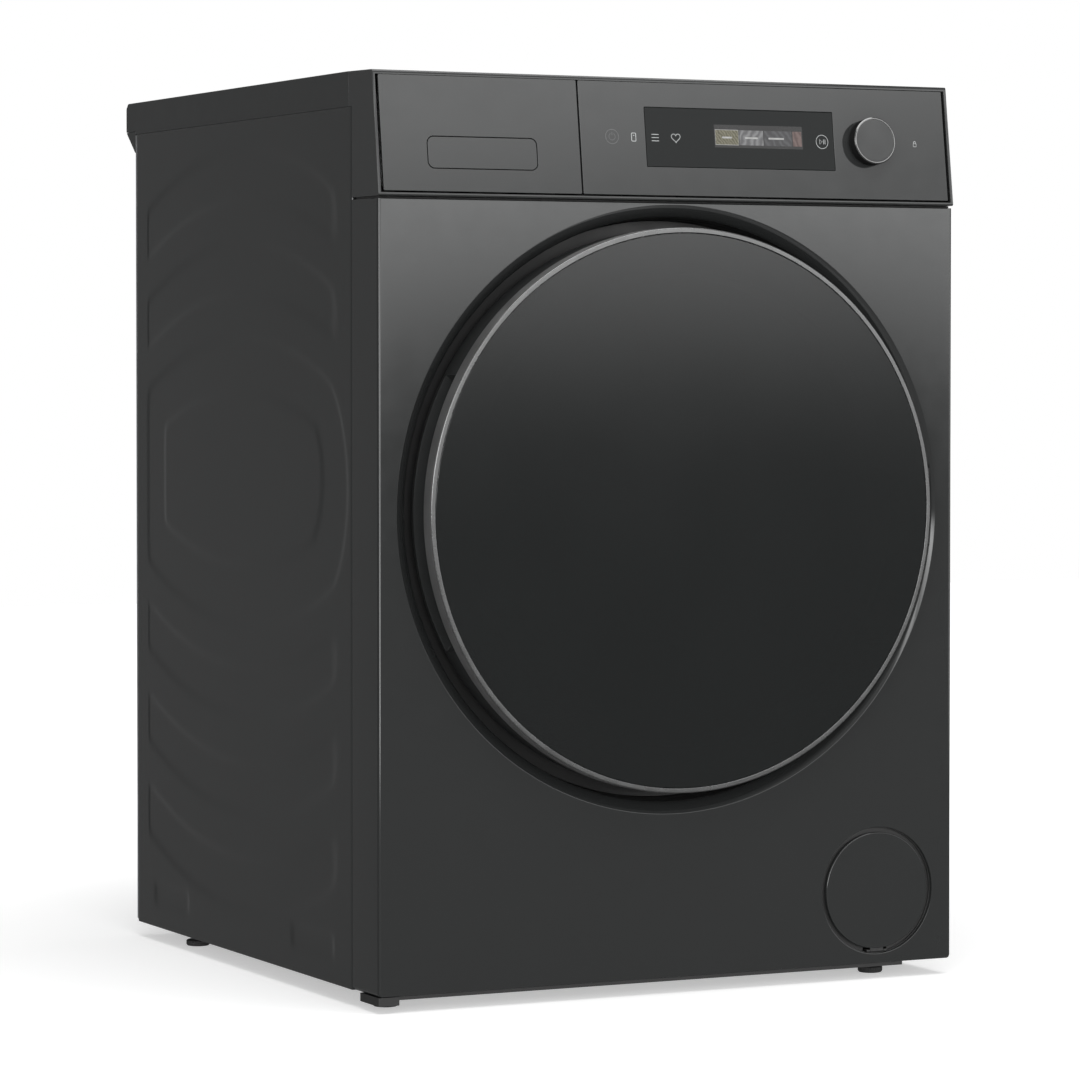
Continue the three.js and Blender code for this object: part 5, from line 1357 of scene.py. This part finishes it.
shaft = turned([(0, DRUM_BACK), (42, DRUM_BACK), (44, DRUM_BACK + 0.6), (20, DRUM_BACK + 4),
                (10, DRUM_BACK + 6), (10, drum_high.y), (0, drum_high.y)], steps=64)
hub = turned(fillet([(0, DRUM_BACK - 5), (58, DRUM_BACK - 5, 2), (64, DRUM_BACK - 1.4, 1),
                     (0, DRUM_BACK - 1.4)], steps=3), steps=96)
drum_shell = show("drum_shell", drum_wall(), drum_steel, "drum_body", ["drum"], weighted=False)
drum_disc = show("drum_disc", merge(drum_back(), hub, shaft), drum_steel, "drum_body")
report(drum_shell, drum_disc)

# %% Lifters
def smooth(t):
    """0 to 1 with a soft start and end."""
    t = min(1.0, max(0.0, t))
    return t * t * (3 - 2 * t)


lift_low, lift_high = box("drum_lifter_1")
LIFT = 58.0
for index in range(3):
    heading = math.pi * (1 / 6 + 2 * index / 3)
    rings = []
    y0, y1 = lift_low.y, lift_high.y
    stations = 44
    for k in range(stations + 1):
        t = k / stations
        y = y0 + (y1 - y0) * t
        end = smooth(min(t, 1 - t) / 0.10)
        tall = LIFT * (0.35 + 0.65 * end)
        wide = 0.75 + 0.25 * end
        groove = 1.0 if 0.12 < t < 0.88 and k % 4 in (1, 2) else 0.0
        seat = DRUM_R - 2.6
        half = 31.0
        profile = [(-half, 2.0), (-half * 0.72 * wide, 6), (-14.5 * wide + groove, tall * 0.45),
                   (-12 * wide + groove, tall * 0.8), (-9 * wide, tall - 3), (-4, tall),
                   (4, tall), (9 * wide, tall - 3),
                   (12 * wide - groove, tall * 0.8), (14.5 * wide - groove, tall * 0.45),
                   (half * 0.72 * wide, 6), (half, 2.0), (half, 0), (half * 0.5, -0.2),
                   (-half * 0.5, -0.2), (-half, 0)]
        ring = []
        for a, up in profile:
            sag = a * a / (2 * seat)
            r = seat - up - (sag if up < 7 else 0)
            ring.append(Vector((r * math.cos(heading) - a * math.sin(heading), y,
                                DOOR_Z + r * math.sin(heading) + a * math.cos(heading))))
        rings.append(ring)
    lifter = show(f"lifter_{index + 1}", loft(rings), grey_plastic, "drum_body",
                  [f"drum_lifter_{index + 1}"])
    report(lifter)

# %% [markdown]
# ## Imported parts that keep their own shape
# Brackets, coils and other plain parts are right as they were drawn. They only need
# their finish, and the boxy ones a small rounding so that their edges catch the light.

# %% Finishes for the imported parts
CARRIED = {
    "base_tray": black_plastic, "control_board": board_green,
    "water_tank": pale_plastic, "tank_sleeve": grey_plastic, "door_latch_hook": bright_steel,
    "door_lock": black_plastic, "door_hinge_bracket": black_plastic, "door_hinge_leaf": black_plastic,
    "front_bulkhead": grey_plastic, "lint_filter": pale_plastic, "moisture_sensor": bright_steel,
    "drum_lamp": bowl_glass, "front_drum_seal": grey_felt, "drum_roller_left": soft_rubber,
    "drum_roller_right": soft_rubber, "rear_bulkhead": zinc_sheet,
    "drum_bearing": bright_steel, "motor": zinc_sheet, "motor_shaft": bright_steel,
    "drive_belt": soft_rubber, "fan_wheel": grey_plastic, "fan_housing": pale_plastic,
    "compressor": black_plastic, "evaporator": fin_metal, "condenser": fin_metal,
    "refrigerant_line": copper_tube, "condensate_pump": grey_plastic,
}
BEVELLED = {"base_tray", "tank_sleeve", "door_latch_hook", "door_lock", "door_hinge_bracket",
            "door_hinge_leaf", "water_tank", "motor", "compressor", "fan_housing"}
for name, material in CARRIED.items():
    part = nodes[name]
    part.data.materials.clear()
    part.data.materials.append(material)
    if name in BEVELLED:
        rounding = part.modifiers.new("rounding", "BEVEL")
        rounding.width = 0.4 * MM
        rounding.segments = 2
        rounding.limit_method = "ANGLE"
        rounding.angle_limit = math.radians(40)
left = [n for n, o in nodes.items() if not o.hide_render and n not in CARRIED]
print("packed parts still shown:", sum(not o.hide_render for o in nodes.values()), "unpainted:", left)
